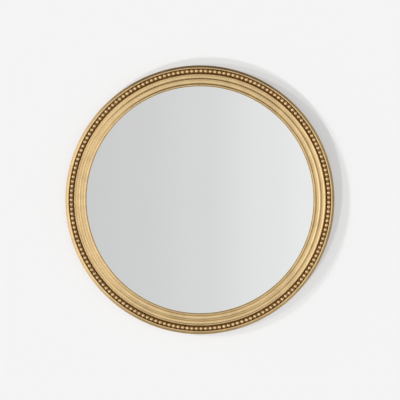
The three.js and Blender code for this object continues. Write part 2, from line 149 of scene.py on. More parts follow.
class FixingSizes(bpy.types.PropertyGroup):
    """Turn buttons, screws, hangers and bumpers."""

    button_circle: length("Button circle", "Radius of the turn buttons' pivots", 226 * MM)
    button_thickness: length("Button thickness", "Of a turn button", 1.2 * MM)
    button_heel: length("Button heel", "Radius of the end round the pivot", 6 * MM)
    button_tip: length("Button tip", "Radius of the end over the board", 4 * MM)
    button_reach: length("Button reach", "From the pivot to the tip's middle", 13 * MM)
    hole: length("Hole", "Radius of the hole for a screw", 1.8 * MM)
    head_radius: length("Head radius", "Of a screw's head", 3 * MM)
    head_height: length("Head height", "Of a screw's head", 1.9 * MM)
    shank: length("Shank", "Radius of a screw's shank", 1.5 * MM)
    grip: length("Grip", "Length of shank in the frame", 8 * MM)
    strap_width: length("Strap width", "Of a hanger's strap", 12 * MM)
    strap_length: length("Strap length", "From the eye to the foot", 30 * MM)
    strap_sheet: length("Strap sheet", "Thickness of the folded sheet", 0.8 * MM)
    strap_place: length("Strap place", "From the mirror's middle to each strap", 211.638 * MM)
    eye_height: length("Eye height", "Of the straps' eyes above the middle", 102.0025 * MM)
    eye_bore: length("Eye bore", "Radius inside the strap's eye", 1.6 * MM)
    wire: length("Wire", "Radius of the D-ring's wire", 1.25 * MM)
    ring_half_width: length("Ring half width", "To the middle of the wire", 10 * MM)
    ring_height: length("Ring height", "To the middle of the wire", 15 * MM)
    ring_corner: length("Ring corner", "Radius of the D-ring's corners", 3 * MM)
    bumper_circle: length("Bumper circle", "Radius of the bumpers' places", 232.25 * MM)
    bumper: length("Bumper", "Radius of a bumper", 8 * MM)


class FinishColours(bpy.types.PropertyGroup):
    """Colours of the finishes."""

    gold: colour("Gold", "Gilding where it is full", (0.97, 0.70, 0.35))
    pale_gold: colour("Pale gold", "Gilding rubbed bright", (1.0, 0.79, 0.46))
    bole: colour("Bole", "The red clay under the gilding", (0.46, 0.19, 0.075))
    # The wash colour also paints shade into the risers, the bead channel, the shoulder and the
    # beads.
    wash_and_shade: colour("Wash And Shade", "The brown wash in the grooves", (0.25, 0.096, 0.009))
    back_paint: colour("Back paint", "On the frame's back", (0.060, 0.040, 0.026))
    silver: colour("Silver", "The silvered glass", (0.93, 0.945, 0.94))
    board: colour("Board", "The fibreboard", (0.235, 0.135, 0.068))
    brass: colour("Brass", "Turn buttons and their screws", (0.60, 0.43, 0.17))
    zinc: colour("Zinc", "Hangers and their screws", (0.55, 0.56, 0.57))
    rubber: colour("Rubber", "The bumpers", (0.022, 0.022, 0.024))
    cork: colour("Cork", "The packing ring", (0.40, 0.22, 0.10))
    tape: colour("Tape", "The glazing tape", (0.030, 0.030, 0.031))


class StudioSettings(bpy.types.PropertyGroup):
    """The studio's wall, light and camera."""

    background: share("Background", "Brightness of the wall in the picture", 0.90)
    wall_colour: share("Wall colour", "How much light the wall gives back", 0.48)
    key_strength: share("Key strength", "Of the light from the left", 3.0, 10.0)
    rear_strength: share("Rear strength", "Of the light on the mirror's back", 1.2, 10.0)
    focal_length: share("Focal length", "Of the camera's lens, in millimetres", 240.0, 500.0)
    camera_distance: length("Camera distance", "From the wall to the camera", 4.9725)


SETTINGS = {
    "mirror_moulding": MouldingSizes,
    "mirror_beading": BeadingSizes,
    "mirror_glass": GlassSizes,
    "mirror_fixings": FixingSizes,
    "mirror_finishes": FinishColours,
    "mirror_studio": StudioSettings,
}


def settings(name):
    return getattr(bpy.context.scene, name)


# --- modelling by hand


def put_all_down():
    """Object mode, with nothing selected."""
    if bpy.context.mode != "OBJECT":
        bpy.ops.object.mode_set(mode="OBJECT")
    bpy.ops.object.select_all(action="DESELECT")


def pick_up(piece):
    """Object mode, with only this piece selected."""
    put_all_down()
    piece.select_set(True)
    bpy.context.view_layer.objects.active = piece
    bpy.context.view_layer.update()


def edit(piece):
    """Edit mode on this piece, with all of it selected."""
    pick_up(piece)
    bpy.ops.object.mode_set(mode="EDIT")
    bpy.ops.mesh.select_mode(type="VERT")
    bpy.ops.mesh.select_all(action="SELECT")


def select_all():
    bpy.ops.mesh.select_all(action="SELECT")


def leave_edit():
    bpy.ops.object.mode_set(mode="OBJECT")


def fix_place():
    """Puts the place, turn and scale of the piece in hand into its mesh."""
    bpy.ops.object.transform_apply(location=True, rotation=True, scale=True)


def named(name):
    piece = bpy.context.object
    piece.name = name
    piece.data.name = name
    return piece


def pick_points(test):
    """Selects the points of the piece in hand whose place passes the test."""
    piece = bpy.context.object
    bpy.ops.mesh.select_mode(type="VERT")
    bpy.ops.mesh.select_all(action="DESELECT")
    sheet = bmesh.from_edit_mesh(piece.data)
    for point in sheet.verts:
        point.select_set(bool(test(piece.matrix_world @ point.co)))
    sheet.select_flush_mode()
    bmesh.update_edit_mesh(piece.data)


def pick_edges(test):
    """Selects the edges of the piece in hand that pass a test of both ends."""
    piece = bpy.context.object
    bpy.ops.mesh.select_mode(type="EDGE")
    bpy.ops.mesh.select_all(action="DESELECT")
    sheet = bmesh.from_edit_mesh(piece.data)
    for edge in sheet.edges:
        ends = [piece.matrix_world @ point.co for point in edge.verts]
        edge.select_set(bool(test(*ends)))
    sheet.select_flush_mode()
    bmesh.update_edit_mesh(piece.data)


def near(places, reach=0.02 * MM):
    return lambda point: any((point - place).length < reach for place in places)


def trace(name, places):
    """Draws a line from place to place by pulling one point on, and stays in edit mode."""
    put_all_down()
    bpy.ops.mesh.primitive_plane_add(size=MM, location=places[0])
    piece = named(name)
    edit(piece)
    bpy.ops.mesh.merge(type="CENTER")
    for start, end in zip(places, places[1:]):
        step = Vector(end) - Vector(start)
        bpy.ops.mesh.extrude_vertices_move(TRANSFORM_OT_translate={"value": step})
    return piece


def trace_section(name, section):
    """Draws a section from its points (radius, height above the frame's back face)."""
    return trace(name, [lying(*place) for place in section])


def fill_line():
    """Closes the line in hand with one face."""
    select_all()
    bpy.ops.mesh.edge_face_add()


def round_points(places, radius, segments=3):
    pick_points(near(places))
    bpy.ops.mesh.bevel(offset=radius, offset_type="OFFSET", segments=segments, affect="VERTICES")


def turn_section(steps):
    """Spins the drawn line about the mirror's axis, and closes and turns out the skin."""
    select_all()
    bpy.ops.mesh.spin(steps=steps, angle=FULL_TURN, center=(0, 0, 0), axis=(0, 1, 0))
    close_skin()


def close_skin():
    select_all()
    bpy.ops.mesh.remove_doubles(threshold=0.002 * MM)
    bpy.ops.mesh.normals_make_consistent(inside=False)


def pull(along):
    """Extrudes the face in hand and leaves its new end selected."""
    bpy.ops.mesh.extrude_region_move(TRANSFORM_OT_translate={"value": along})


def apply_modifier(piece, kind, **values):
    pick_up(piece)
    modifier = piece.modifiers.new(kind.title(), kind)
    for name, value in values.items():
        setattr(modifier, name, value)
    bpy.ops.object.modifier_apply(modifier=modifier.name)


def take_away(piece, cutter):
    """Cuts the cutter's shape out of the piece and throws the cutter away."""
    apply_modifier(piece, "BOOLEAN", operation="DIFFERENCE", solver="EXACT", object=cutter)
    bpy.data.objects.remove(cutter)


def drill(piece, place, radius, depth, sides=24):
    """Drills through the piece from front to back, half of the depth to each side of a place."""
    put_all_down()
    bpy.ops.mesh.primitive_cylinder_add(
        vertices=sides, radius=radius, depth=depth, location=place, rotation=(RIGHT_ANGLE, 0, 0)
    )
    take_away(piece, named("drill"))


def ease_edges(piece, width, segments=2):
    steep = math.radians(50)
    limits = {"limit_method": "ANGLE", "angle_limit": steep}
    apply_modifier(piece, "BEVEL", width=width, segments=segments, **limits)


def settle(piece, sharp=40.0):
    """Puts the piece's place into its mesh and shades it smooth up to this angle."""
    pick_up(piece)
    fix_place()
    bpy.ops.object.shade_smooth_by_angle(angle=math.radians(sharp))
    return piece


def copy_at(piece, name, turn=0.0, shift=(0, 0, 0)):
    """A copy with its own mesh, turned about the mirror's axis and then shifted."""
    pick_up(piece)
    bpy.ops.object.duplicate(linked=False)
    twin = named(name)
    twin.rotation_euler = (0, -turn, 0)
    twin.location = shift
    fix_place()
    return twin


def join(pieces, name):
    put_all_down()
    for piece in pieces:
        piece.select_set(True)
    bpy.context.view_layer.objects.active = pieces[0]
    bpy.ops.object.join()
    return named(name)


def arc(centre, radii, start, end, steps):
    """Points [radius, height] along part of an ellipse, both ends included."""
    turns = [start + (end - start) * step / steps for step in range(steps + 1)]
    return [
        (centre[0] + radii[0] * math.cos(turn), centre[1] + radii[1] * math.sin(turn))
        for turn in turns
    ]


def dress(piece, material, slot, body, *nodes):
    """Gives a piece its finish, puts it under the body it rides, and hides the solids it stands
    for.
    """
    piece.data.materials.clear()
    piece.data.materials.append(material)
    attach(piece, body)
    if nodes:
        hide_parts(*nodes)


def lay_out(piece, finish, slot, rows):
    """Copies a piece to each of its places, dresses the copies, and throws the first away."""
    for name, turn, shift, body, node in rows:
        dress(copy_at(piece, name, turn, shift), finish, slot, body, node)
    bpy.data.objects.remove(piece)


# --- node helpers


def put(tree, kind, inputs=None, **values):
    """One node. An input that is a socket is joined on, and any other is written in."""
    node = tree.nodes.new(kind)
    for name, value in values.items():
        setattr(node, name, value)
    for name, value in (inputs or {}).items():
        if isinstance(value, bpy.types.NodeSocket):
            tree.links.new(value, node.inputs[name])
        else:
            node.inputs[name].default_value = value
    return node


def connect(tree, inputs, **sockets):
    """Joins outputs on to a node's inputs, whose labels are given with _ for each space."""
    for name, value in sockets.items():
        tree.links.new(value, inputs[name.replace("_", " ")])


def calc(tree, how, first, second=0.0, third=0.0, clamp=False):
    inputs = {0: first, 1: second}
    if how in ("MULTIPLY_ADD", "SMOOTH_MIN", "SMOOTH_MAX", "COMPARE"):
        inputs[2] = third
    return put(tree, "ShaderNodeMath", inputs, operation=how, use_clamp=clamp).outputs[0]


def span(tree, value, low, high, start=0.0, end=1.0, smooth=True):
    """Maps a value from low..high to start..end, held at both ends."""
    how = "SMOOTHSTEP" if smooth else "LINEAR"
    inputs = {"Value": value, "From Min": low, "From Max": high, "To Min": start, "To Max": end}
    return put(tree, "ShaderNodeMapRange", inputs, interpolation_type=how).outputs["Result"]


def mix(tree, amount, under, over, how="MIX"):
    inputs = {0: amount, 6: under, 7: over}
    node = put(tree, "ShaderNodeMix", inputs, data_type="RGBA", blend_type=how)
    return node.outputs[2]


def vector(tree, how, first):
    return put(tree, "ShaderNodeVectorMath", {0: first}, operation=how)


def scaled(tree, first, amount):
    """A vector or colour times a value."""
    node = vector(tree, "SCALE", first)
    tree.links.new(amount, node.inputs["Scale"])
    return node.outputs[0]


def across_axis(tree, place):
    """A place's parts, and its flat place and distance from the mirror's axis."""
    parts = put(tree, "ShaderNodeSeparateXYZ", {"Vector": place}).outputs
    flat = put(tree, "ShaderNodeCombineXYZ", {"X": parts["X"], "Y": parts["Z"]}).outputs[0]
    return parts, flat, vector(tree, "LENGTH", flat).outputs["Value"]


def cells(tree, place, scale, feature="F1"):
    inputs = {"Vector": place, "Scale": scale}
    return put(tree, "ShaderNodeTexVoronoi", inputs, feature=feature).outputs


def noise(tree, place, scale, detail=3.0, roughness=0.55, distortion=0.0):
    inputs = {
        "Vector": place,
        "Scale": scale,
        "Detail": detail,
        "Roughness": roughness,
        "Distortion": distortion,
    }
    return put(tree, "ShaderNodeTexNoise", inputs).outputs["Fac"]


def ramp(tree, value, stops, how="LINEAR"):
    """A value by value: stops of (place, level) with places from 0 to 1."""
    node = put(tree, "ShaderNodeValToRGB", {"Fac": value})
    points = node.color_ramp.elements
    node.color_ramp.interpolation = how
    while len(points) < len(stops):
        points.new(0.5)
    for point, (place, level) in zip(points, stops):
        point.position = place
        point.color = (level, level, level, 1.0)
    return node.outputs["Color"]


def bump(tree, height, distance, strength=1.0, under=None):
    inputs = {"Height": height, "Distance": distance, "Strength": strength}
    if under is not None:
        inputs["Normal"] = under
    return put(tree, "ShaderNodeBump", inputs).outputs["Normal"]


def shader_group(name, inputs, outputs):
    """An empty node group and its two ends. An input is a vector without a default, a colour
    with a tuple and else a value, and an output is a value unless it is named here."""
    kinds = {"Color": "NodeSocketColor", "Streak Place": "NodeSocketVector"}
    group = bpy.data.node_groups.new(name, "ShaderNodeTree")
    for label, default in inputs.items():
        kind = {type(None): "Vector", tuple: "Color"}.get(type(default), "Float")
        kind = f"NodeSocket{kind}"
        socket = group.interface.new_socket(name=label, in_out="INPUT", socket_type=kind)
        if default is not None:
            socket.default_value = default
    for label in outputs:
        kind = kinds.get(label, "NodeSocketFloat")
        group.interface.new_socket(name=label, in_out="OUTPUT", socket_type=kind)
    start = group.nodes.new("NodeGroupInput").outputs
    end = group.nodes.new("NodeGroupOutput").inputs
    return group, start, end


def use(tree, group, inputs):
    return put(tree, "ShaderNodeGroup", inputs, node_tree=bpy.data.node_groups[group]).outputs


def opaque(rgb):
    return (*rgb, 1.0)


def tint(name):
    """One of the finishes' colours, by its name in the settings."""
    return opaque(getattr(settings("mirror_finishes"), name))


# --- shared effects


STREAK_CIRCLE = 238 * MM  # the radius at which a streak has its named length


def build_place_on_ring():
    """Where a point lies on the turned frame: distance from the axis, height from the wall, and a
    seamless place that is long round the ring and short across it."""
    group, start, end = shader_group(
        "Place on ring",
        {"Object Place": None, "Length Of Streaks": 30 * MM},
        ["Radius", "Height", "Streak Place", "Turn"],
    )
    parts, flat, radius = across_axis(group, start["Object Place"])
    height = calc(group, "MULTIPLY", parts["Y"], -1.0)
    turn = calc(group, "ARCTAN2", parts["Z"], parts["X"])
    round_ring = vector(group, "NORMALIZE", flat).outputs[0]
    laps = calc(group, "DIVIDE", STREAK_CIRCLE, start["Length Of Streaks"])
    around = scaled(group, round_ring, laps)
    turned = put(group, "ShaderNodeSeparateXYZ", {"Vector": around}).outputs
    across = calc(group, "MULTIPLY", calc(group, "ADD", radius, height), 1000.0)
    streak_parts = {"X": turned["X"], "Y": turned["Y"], "Z": across}
    streak = put(group, "ShaderNodeCombineXYZ", streak_parts).outputs[0]
    connect(group, end, Radius=radius, Height=height, Streak_Place=streak, Turn=turn)


def build_leaf():
    """Laid and rubbed gilding: cloudy tone, brushed streaks, and specks of the clay below."""
    group, start, end = shader_group(
        "Laid gilding",
        {
            "Object Place": None,
            "Streak Place": None,
            "Gold": (0.8, 0.6, 0.3, 1.0),
            "Pale Gold": (0.9, 0.7, 0.4, 1.0),
            "Bole": (0.4, 0.15, 0.06, 1.0),
            "Streak Depth": 0.5,
            "Rub": 0.3,
        },
        ["Color", "Roughness", "Height", "Streaks"],
    )
    place = start["Object Place"]
    fine = noise(group, start["Streak Place"], 1.9, 3.0, 0.6)
    broad = noise(group, start["Streak Place"], 0.55, 2.0, 0.5)
    streaks = calc(group, "MULTIPLY_ADD", broad, 0.45, calc(group, "MULTIPLY", fine, 0.55))
    clouds = noise(group, place, 38.0, 4.0, 0.6, 0.4)
    grain = noise(group, place, 900.0, 3.0, 0.65)

    spread = span(group, streaks, 0.36, 0.64)
    depth = calc(group, "MULTIPLY", spread, start["Streak Depth"])
    light = mix(group, depth, start["Gold"], start["Pale Gold"])
    tone = span(group, clouds, 0.30, 0.70, 0.90, 1.09)
    toned = scaled(group, light, tone)

    rubbed = noise(group, place, 120.0, 5.0, 0.7)
    worn = calc(group, "MULTIPLY", span(group, rubbed, 0.60, 0.74), span(group, fine, 0.42, 0.62))
    showing = calc(group, "MULTIPLY", worn, start["Rub"])
    result = mix(group, showing, toned, start["Bole"])

    roughness = calc(group, "MULTIPLY_ADD", grain, 0.12, span(group, clouds, 0.3, 0.7, 0.21, 0.29))
    relief = calc(group, "MULTIPLY_ADD", streaks, 0.7, calc(group, "MULTIPLY", grain, 0.3))
    connect(group, end, Color=result, Roughness=roughness, Height=relief, Streaks=streaks)


def build_wash_and_shade():
    """A brown wash wiped over a surface, which also paints shade: it stays where the depth is high,
    with ragged edges.
    """
    group, start, end = shader_group(
        "Brown wash and painted shade",
        {
            "Object Place": None,
            "Color": (1.0, 1.0, 1.0, 1.0),
            "Wash And Shade": (0.15, 0.07, 0.02, 1.0),
            "Depth": 0.5,
            "Roughness": 0.4,
            "Ragged": 0.3,
        },
        ["Color", "Roughness", "Metal", "Amount"],
    )
    patches = noise(group, start["Object Place"], 260.0, 4.0, 0.65)
    shift = calc(group, "MULTIPLY", calc(group, "SUBTRACT", patches, 0.5), start["Ragged"])
    wiped = calc(group, "MULTIPLY", calc(group, "MULTIPLY", shift, start["Depth"]), 2.0)
    amount = calc(group, "ADD", start["Depth"], wiped, clamp=True)
    result = mix(group, amount, start["Color"], start["Wash And Shade"])
    dull = calc(group, "MULTIPLY_ADD", amount, 0.14, start["Roughness"])
    metal = calc(group, "MULTIPLY_ADD", amount, -0.16, 0.97)
    connect(group, end, Color=result, Roughness=dull, Metal=metal, Amount=amount)


def build_plated():
    """Plated or plain sheet metal: rolled grain, tarnish in clouds, and small scratches."""
    group, start, end = shader_group(
        "Plated metal",
        {
            "Object Place": None,
            "Metal": (0.6, 0.6, 0.6, 1.0),
            "Tarnish": (0.2, 0.15, 0.1, 1.0),
            "Tarnish Amount": 0.5,
            "Base Roughness": 0.3,
        },
        ["Color", "Roughness", "Height"],
    )
    place = start["Object Place"]
    stretched = put(group, "ShaderNodeMapping", {"Vector": place, "Scale": (1.0, 1.0, 12.0)})
    grain = noise(group, stretched.outputs[0], 420.0, 3.0, 0.6)
    clouds = noise(group, place, 160.0, 4.0, 0.62, 0.6)
    marks = cells(group, place, 700.0)
    specks = span(group, marks["Distance"], 0.05, 0.16, 1.0, 0.0)
    dark = calc(group, "MULTIPLY", span(group, clouds, 0.45, 0.72), start["Tarnish Amount"])
    spotted = calc(group, "MULTIPLY_ADD", specks, 0.25, dark, clamp=True)
    result = mix(group, spotted, start["Metal"], start["Tarnish"])
    rough = calc(group, "MULTIPLY_ADD", grain, 0.16, start["Base Roughness"])
    duller = calc(group, "MULTIPLY_ADD", spotted, 0.22, rough, clamp=True)
    relief = calc(group, "MULTIPLY_ADD", clouds, 0.4, calc(group, "MULTIPLY", grain, 0.6))
    connect(group, end, Color=result, Roughness=duller, Height=relief)


def build_dust():
    """A thin veil of dust that lightens a dark, rough finish in patches."""
    group, start, end = shader_group(
        "Dust veil",
        {
            "Object Place": None,
            "Color": (0.1, 0.1, 0.1, 1.0),
            "Amount": 0.2,
        },
        ["Color", "Dust"],
    )
    veil = noise(group, start["Object Place"], 55.0, 5.0, 0.7)
    motes = noise(group, start["Object Place"], 1500.0, 2.0, 0.5)
    spread = calc(group, "MULTIPLY", span(group, veil, 0.35, 0.75), span(group, motes, 0.3, 0.7))
    dust = calc(group, "MULTIPLY", spread, start["Amount"])
    result = mix(group, dust, start["Color"], (0.42, 0.39, 0.35, 1.0))
    connect(group, end, Color=result, Dust=dust)


def build_shared_effects():
    build_place_on_ring()
    build_leaf()
    build_wash_and_shade()
    build_plated()
    build_dust()


# --- finishes


def new_finish(name, **constants):
    """A material with one shader, its constants written on the shader's own sockets."""
    material = bpy.data.materials.new(name)
    material.use_nodes = True
    tree = material.node_tree
    tree.nodes.clear()
    labels = {label.replace("_", " "): value for label, value in constants.items()}
    shader = put(tree, "ShaderNodeBsdfPrincipled", labels)
    put(tree, "ShaderNodeOutputMaterial", {"Surface": shader.outputs["BSDF"]})
    place = put(tree, "ShaderNodeTexCoord").outputs["Object"]
    return material, tree, shader.inputs, place


# Wash and painted shade across the frame's face: (radius in millimetres, depth).
WASH_AND_SHADE_BY_RADIUS = [
    (211.9, 0.12),
    (212.6, 0.05),
    (213.4, 0.02),
    (214.2, 0.08),
    (215.4, 0.40),
    (216.4, 0.45),
    (217.3, 0.10),
    (218.3, 0.02),
    (222.6, 0.02),
    (223.9, 0.08),
    (225.1, 0.40),
    (226.1, 0.45),
    (227.0, 0.10),
    (228.0, 0.02),
    (232.6, 0.03),
    (233.4, 0.16),
    (234.4, 0.36),
    (235.0, 1.00),
    (236.2, 1.00),
    (237.2, 0.78),
    (241.2, 0.78),
    (242.3, 0.52),
    (243.0, 0.12),
    (243.8, 0.03),
    (245.2, 0.06),
    (246.6, 0.36),
    (250.1, 0.52),
]
RAMP_START = 208.0
RAMP_END = 252.0


def by_radius(tree, radius, table):
    """Reads a table of (radius in millimetres, level)."""
    along = span(tree, radius, RAMP_START * MM, RAMP_END * MM, smooth=False)
    width = RAMP_END - RAMP_START
    stops = [((place - RAMP_START) / width, level) for place, level in table]
    return ramp(tree, along, stops)


def gild(tree, place, streak_length, streak_depth):
    """Where a point lies on the ring, and the gilding there."""
    spot = use(tree, "Place on ring", {"Object Place": place, "Length Of Streaks": streak_length})
    inputs = {
        "Object Place": place,
        "Streak Place": spot["Streak Place"],
        "Gold": tint("gold"),
        "Pale Gold": tint("pale_gold"),
        "Bole": tint("bole"),
        "Streak Depth": streak_depth,
        "Rub": 0.3,
    }
    return spot, use(tree, "Laid gilding", inputs)


def wash_and_shade_over(tree, place, leaf, depth, roughness, ragged):
    inputs = {
        "Object Place": place,
        "Color": leaf["Color"],
        "Wash And Shade": tint("wash_and_shade"),
        "Depth": depth,
        "Roughness": roughness,
        "Ragged": ragged,
    }
    return use(tree, "Brown wash and painted shade", inputs)


def gilded_frame_finish():
    material, tree, shader, place = new_finish(
        "gilded_frame", Coat_Roughness=0.32, Coat_IOR=1.45, Specular_Tint=(0.97, 0.80, 0.52, 1.0)
    )
    spot, leaf = gild(tree, place, 34 * MM, 0.42)
    # Partly real wash, partly painted shade: the table darkens the risers, the bead channel and the
    # shoulder the same all round.
    depth = by_radius(tree, spot["Radius"], WASH_AND_SHADE_BY_RADIUS)
    # The outer side browns more towards the wall: partly wash, partly painted shade.
    low_side_wash_and_shade = span(tree, spot["Height"], 7 * MM, 19 * MM, 0.35, 0.0)
    outside = span(tree, spot["Radius"], 246 * MM, 248 * MM)
    side_wash_and_shade = calc(tree, "MULTIPLY", low_side_wash_and_shade, outside)
    wash_and_shade_depth = calc(tree, "ADD", depth, side_wash_and_shade, clamp=True)
    wash_and_shade = wash_and_shade_over(tree, place, leaf, wash_and_shade_depth, leaf["Roughness"], 0.7)
    brushed = noise(tree, place, 210.0, 4.0, 0.6)
    paint_line = span(tree, brushed, 0.3, 0.7, BACK_PLANE + 0.5 * MM, BACK_PLANE + 2.2 * MM)
    behind = span(tree, calc(tree, "SUBTRACT", spot["Height"], paint_line), 0.0, 0.3 * MM, 1.0, 0.0)
    under_lip = span(tree, spot["Height"], 18.85 * MM, 19.1 * MM, 1.0, 0.0)
    within = span(tree, spot["Radius"], 217.05 * MM, 217.25 * MM, 1.0, 0.0)
    painted = calc(tree, "MAXIMUM", behind, calc(tree, "MULTIPLY", within, under_lip))
    paint_tone = mix(tree, brushed, tint("back_paint"), (0.125, 0.080, 0.050, 1.0))
    dusty = use(tree, "Dust veil", {"Object Place": place, "Color": paint_tone, "Amount": 0.5})
    tree.links.new(mix(tree, painted, wash_and_shade["Color"], dusty["Color"]), shader["Base Color"])
    bare = calc(tree, "SUBTRACT", 1.0, painted)
    tree.links.new(calc(tree, "MULTIPLY", wash_and_shade["Metal"], bare), shader["Metallic"])
    painted_rough = calc(tree, "MULTIPLY_ADD", brushed, 0.2, 0.55)
    rough = put(tree, "ShaderNodeMix", {0: painted, 2: wash_and_shade["Roughness"], 3: painted_rough})
    tree.links.new(rough.outputs[0], shader["Roughness"])
    coat = calc(tree, "MULTIPLY", calc(tree, "MULTIPLY_ADD", wash_and_shade["Amount"], -0.04, 0.06), bare)
    tree.links.new(coat, shader["Coat Weight"])
    lumps = noise(tree, place, 75.0, 2.0, 0.5)
    soft = bump(tree, lumps, 0.10 * MM, 0.6)
    tree.links.new(bump(tree, leaf["Height"], 0.05 * MM, 0.8, soft), shader["Normal"])
    return material


def gilded_beading_finish():
    sizes = settings("mirror_beading")
    material, tree, shader, place = new_finish(
        "gilded_beading", Coat_Roughness=0.25, Coat_IOR=1.45
    )
    spot, leaf = gild(tree, place, 4 * MM, 0.8)
    # Each bead browns with its drop below the top: partly wash round its foot, partly painted shade
    # on its sides.
    top = BACK_PLANE + sizes.strip_back + sizes.bead_rise + sizes.bead / 2
    drop = calc(tree, "SUBTRACT", top, spot["Height"])
    uneven = noise(tree, place, 150.0, 2.0, 0.5)
    ragged = calc(tree, "MULTIPLY_ADD", calc(tree, "SUBTRACT", uneven, 0.5), 1.1 * MM, drop)
    depth = span(tree, ragged, 0.9 * MM, 2.9 * MM)
    smoother = calc(tree, "ADD", leaf["Roughness"], -0.04)
    wash_and_shade = wash_and_shade_over(tree, place, leaf, depth, smoother, 0.4)
    connect(
        tree,
        shader,
        Base_Color=wash_and_shade["Color"],
        Metallic=wash_and_shade["Metal"],
        Roughness=wash_and_shade["Roughness"],
        Coat_Weight=calc(tree, "MULTIPLY_ADD", wash_and_shade["Amount"], -0.06, 0.10),
        Normal=bump(tree, leaf["Height"], 0.05 * MM, 0.6),
    )
    return material


# The glass's cut edge: the radii over which it turns green, and the Y over which it is rough.
GROUND_EDGE = (215.2 * MM, 215.9 * MM)
GROUND_BACK = (-17.0 * MM, -16.0 * MM)


def silvered_glass_finish():
    material, tree, shader, place = new_finish("silvered_glass", Metallic=1.0)
    veil = noise(tree, place, 9.0, 3.0, 0.5)
    silver = mix(tree, span(tree, veil, 0.3, 0.7), tint("silver"), (0.925, 0.935, 0.93, 1.0))
    parts, _, radius = across_axis(tree, place)
    cut_edge = span(tree, radius, *GROUND_EDGE)
    behind = span(tree, parts["Y"], *GROUND_BACK)
    smear = noise(tree, place, 24.0, 4.0, 0.6)
    shine = span(tree, smear, 0.35, 0.75, 0.012, 0.030)
    ground = calc(tree, "MULTIPLY", cut_edge, behind)
    ripple = noise(tree, place, 5.0, 1.0, 0.4)
    connect(
        tree,
        shader,
        Base_Color=mix(tree, cut_edge, silver, (0.20, 0.32, 0.28, 1.0)),
        Roughness=calc(tree, "MULTIPLY_ADD", ground, 0.4, shine),
        Normal=bump(tree, ripple, 0.05 * MM, 0.3),
    )
    return material


def board_finish():
    material, tree, shader, place = new_finish("fibreboard", Metallic=0.0, IOR=1.45)
    flat = put(tree, "ShaderNodeMapping", {"Vector": place, "Scale": (1.0, 3.0, 1.0)}).outputs[0]
    fibres = noise(tree, flat, 520.0, 5.0, 0.75, 1.6)
    clouds = noise(tree, place, 14.0, 4.0, 0.6)
    flecks = cells(tree, flat, 420.0)
    dark_fleck = span(tree, flecks["Distance"], 0.04, 0.20, 1.0, 0.0)
    lit = mix(tree, span(tree, fibres, 0.32, 0.70), tint("board"), (0.40, 0.25, 0.135, 1.0))
    tone = span(tree, clouds, 0.3, 0.7, 0.86, 1.10)
    flecked = mix(tree, dark_fleck, scaled(tree, lit, tone), (0.11, 0.06, 0.03, 1.0))
    dusty = use(tree, "Dust veil", {"Object Place": place, "Color": flecked, "Amount": 0.25})
    connect(
        tree,
        shader,
        Base_Color=dusty["Color"],
        Roughness=span(tree, fibres, 0.3, 0.7, 0.62, 0.86),
        Normal=bump(tree, fibres, 0.06 * MM, 0.7),
    )
    return material


def plated_finish(name, metal, tarnish, amount, roughness):
    """Sheet or turned metal, tarnished by this amount, made once and shared by its pieces."""
    made = bpy.data.materials.get(name)
    if made:
        return made
    material, tree, shader, place = new_finish(name, Metallic=1.0)
    inputs = {
        "Object Place": place,
        "Metal": metal,
        "Tarnish": opaque(tarnish),
        "Tarnish Amount": amount,
        "Base Roughness": roughness,
    }
    plate = use(tree, "Plated metal", inputs)
    connect(
        tree,
        shader,
        Base_Color=plate["Color"],
        Roughness=plate["Roughness"],
        Normal=bump(tree, plate["Height"], 0.03 * MM, 0.6),
    )
    return material


def rubber_finish():
    material, tree, shader, place = new_finish("bumper_rubber", Metallic=0.0, IOR=1.5)
    dusty = use(
        tree, "Dust veil", {"Object Place": place, "Color": tint("rubber"), "Amount": 0.35}
    )
    skin = noise(tree, place, 1800.0, 3.0, 0.6)
    connect(
        tree,
        shader,
        Base_Color=dusty["Color"],
        Roughness=span(tree, skin, 0.3, 0.7, 0.58, 0.78),
        Normal=bump(tree, skin, 0.02 * MM, 0.6),
    )
    return material


def cork_finish():
    material, tree, shader, place = new_finish("cork", Metallic=0.0)
    grains = cells(tree, place, 380.0)
    seams = cells(tree, place, 380.0, "DISTANCE_TO_EDGE")
    gaps = span(tree, seams["Distance"], 0.0, 0.09, 1.0, 0.0)
    tones = put(tree, "ShaderNodeSeparateColor", {"Color": grains["Color"]}).outputs[0]
    lit = mix(tree, tones, tint("cork"), (0.55, 0.34, 0.17, 1.0))
    connect(
        tree,
        shader,
        Base_Color=mix(tree, gaps, lit, (0.12, 0.06, 0.03, 1.0)),
        Roughness=span(tree, tones, 0.0, 1.0, 0.75, 0.92),
        Normal=bump(tree, calc(tree, "SUBTRACT", 1.0, gaps), 0.2 * MM, 0.7),
    )
    return material


def tape_finish():
    material, tree, shader, place = new_finish("foam_tape", Metallic=0.0)
    open_cell = span(tree, cells(tree, place, 2400.0)["Distance"], 0.1, 0.6)
    tone = mix(tree, open_cell, tint("tape"), (0.075, 0.074, 0.072, 1.0))
    connect(
        tree,
        shader,
        Base_Color=tone,
        Roughness=span(tree, open_cell, 0.0, 1.0, 0.85, 0.97),
        Normal=bump(tree, open_cell, 0.12 * MM, 0.8),
    )
    return material


# --- the moulding


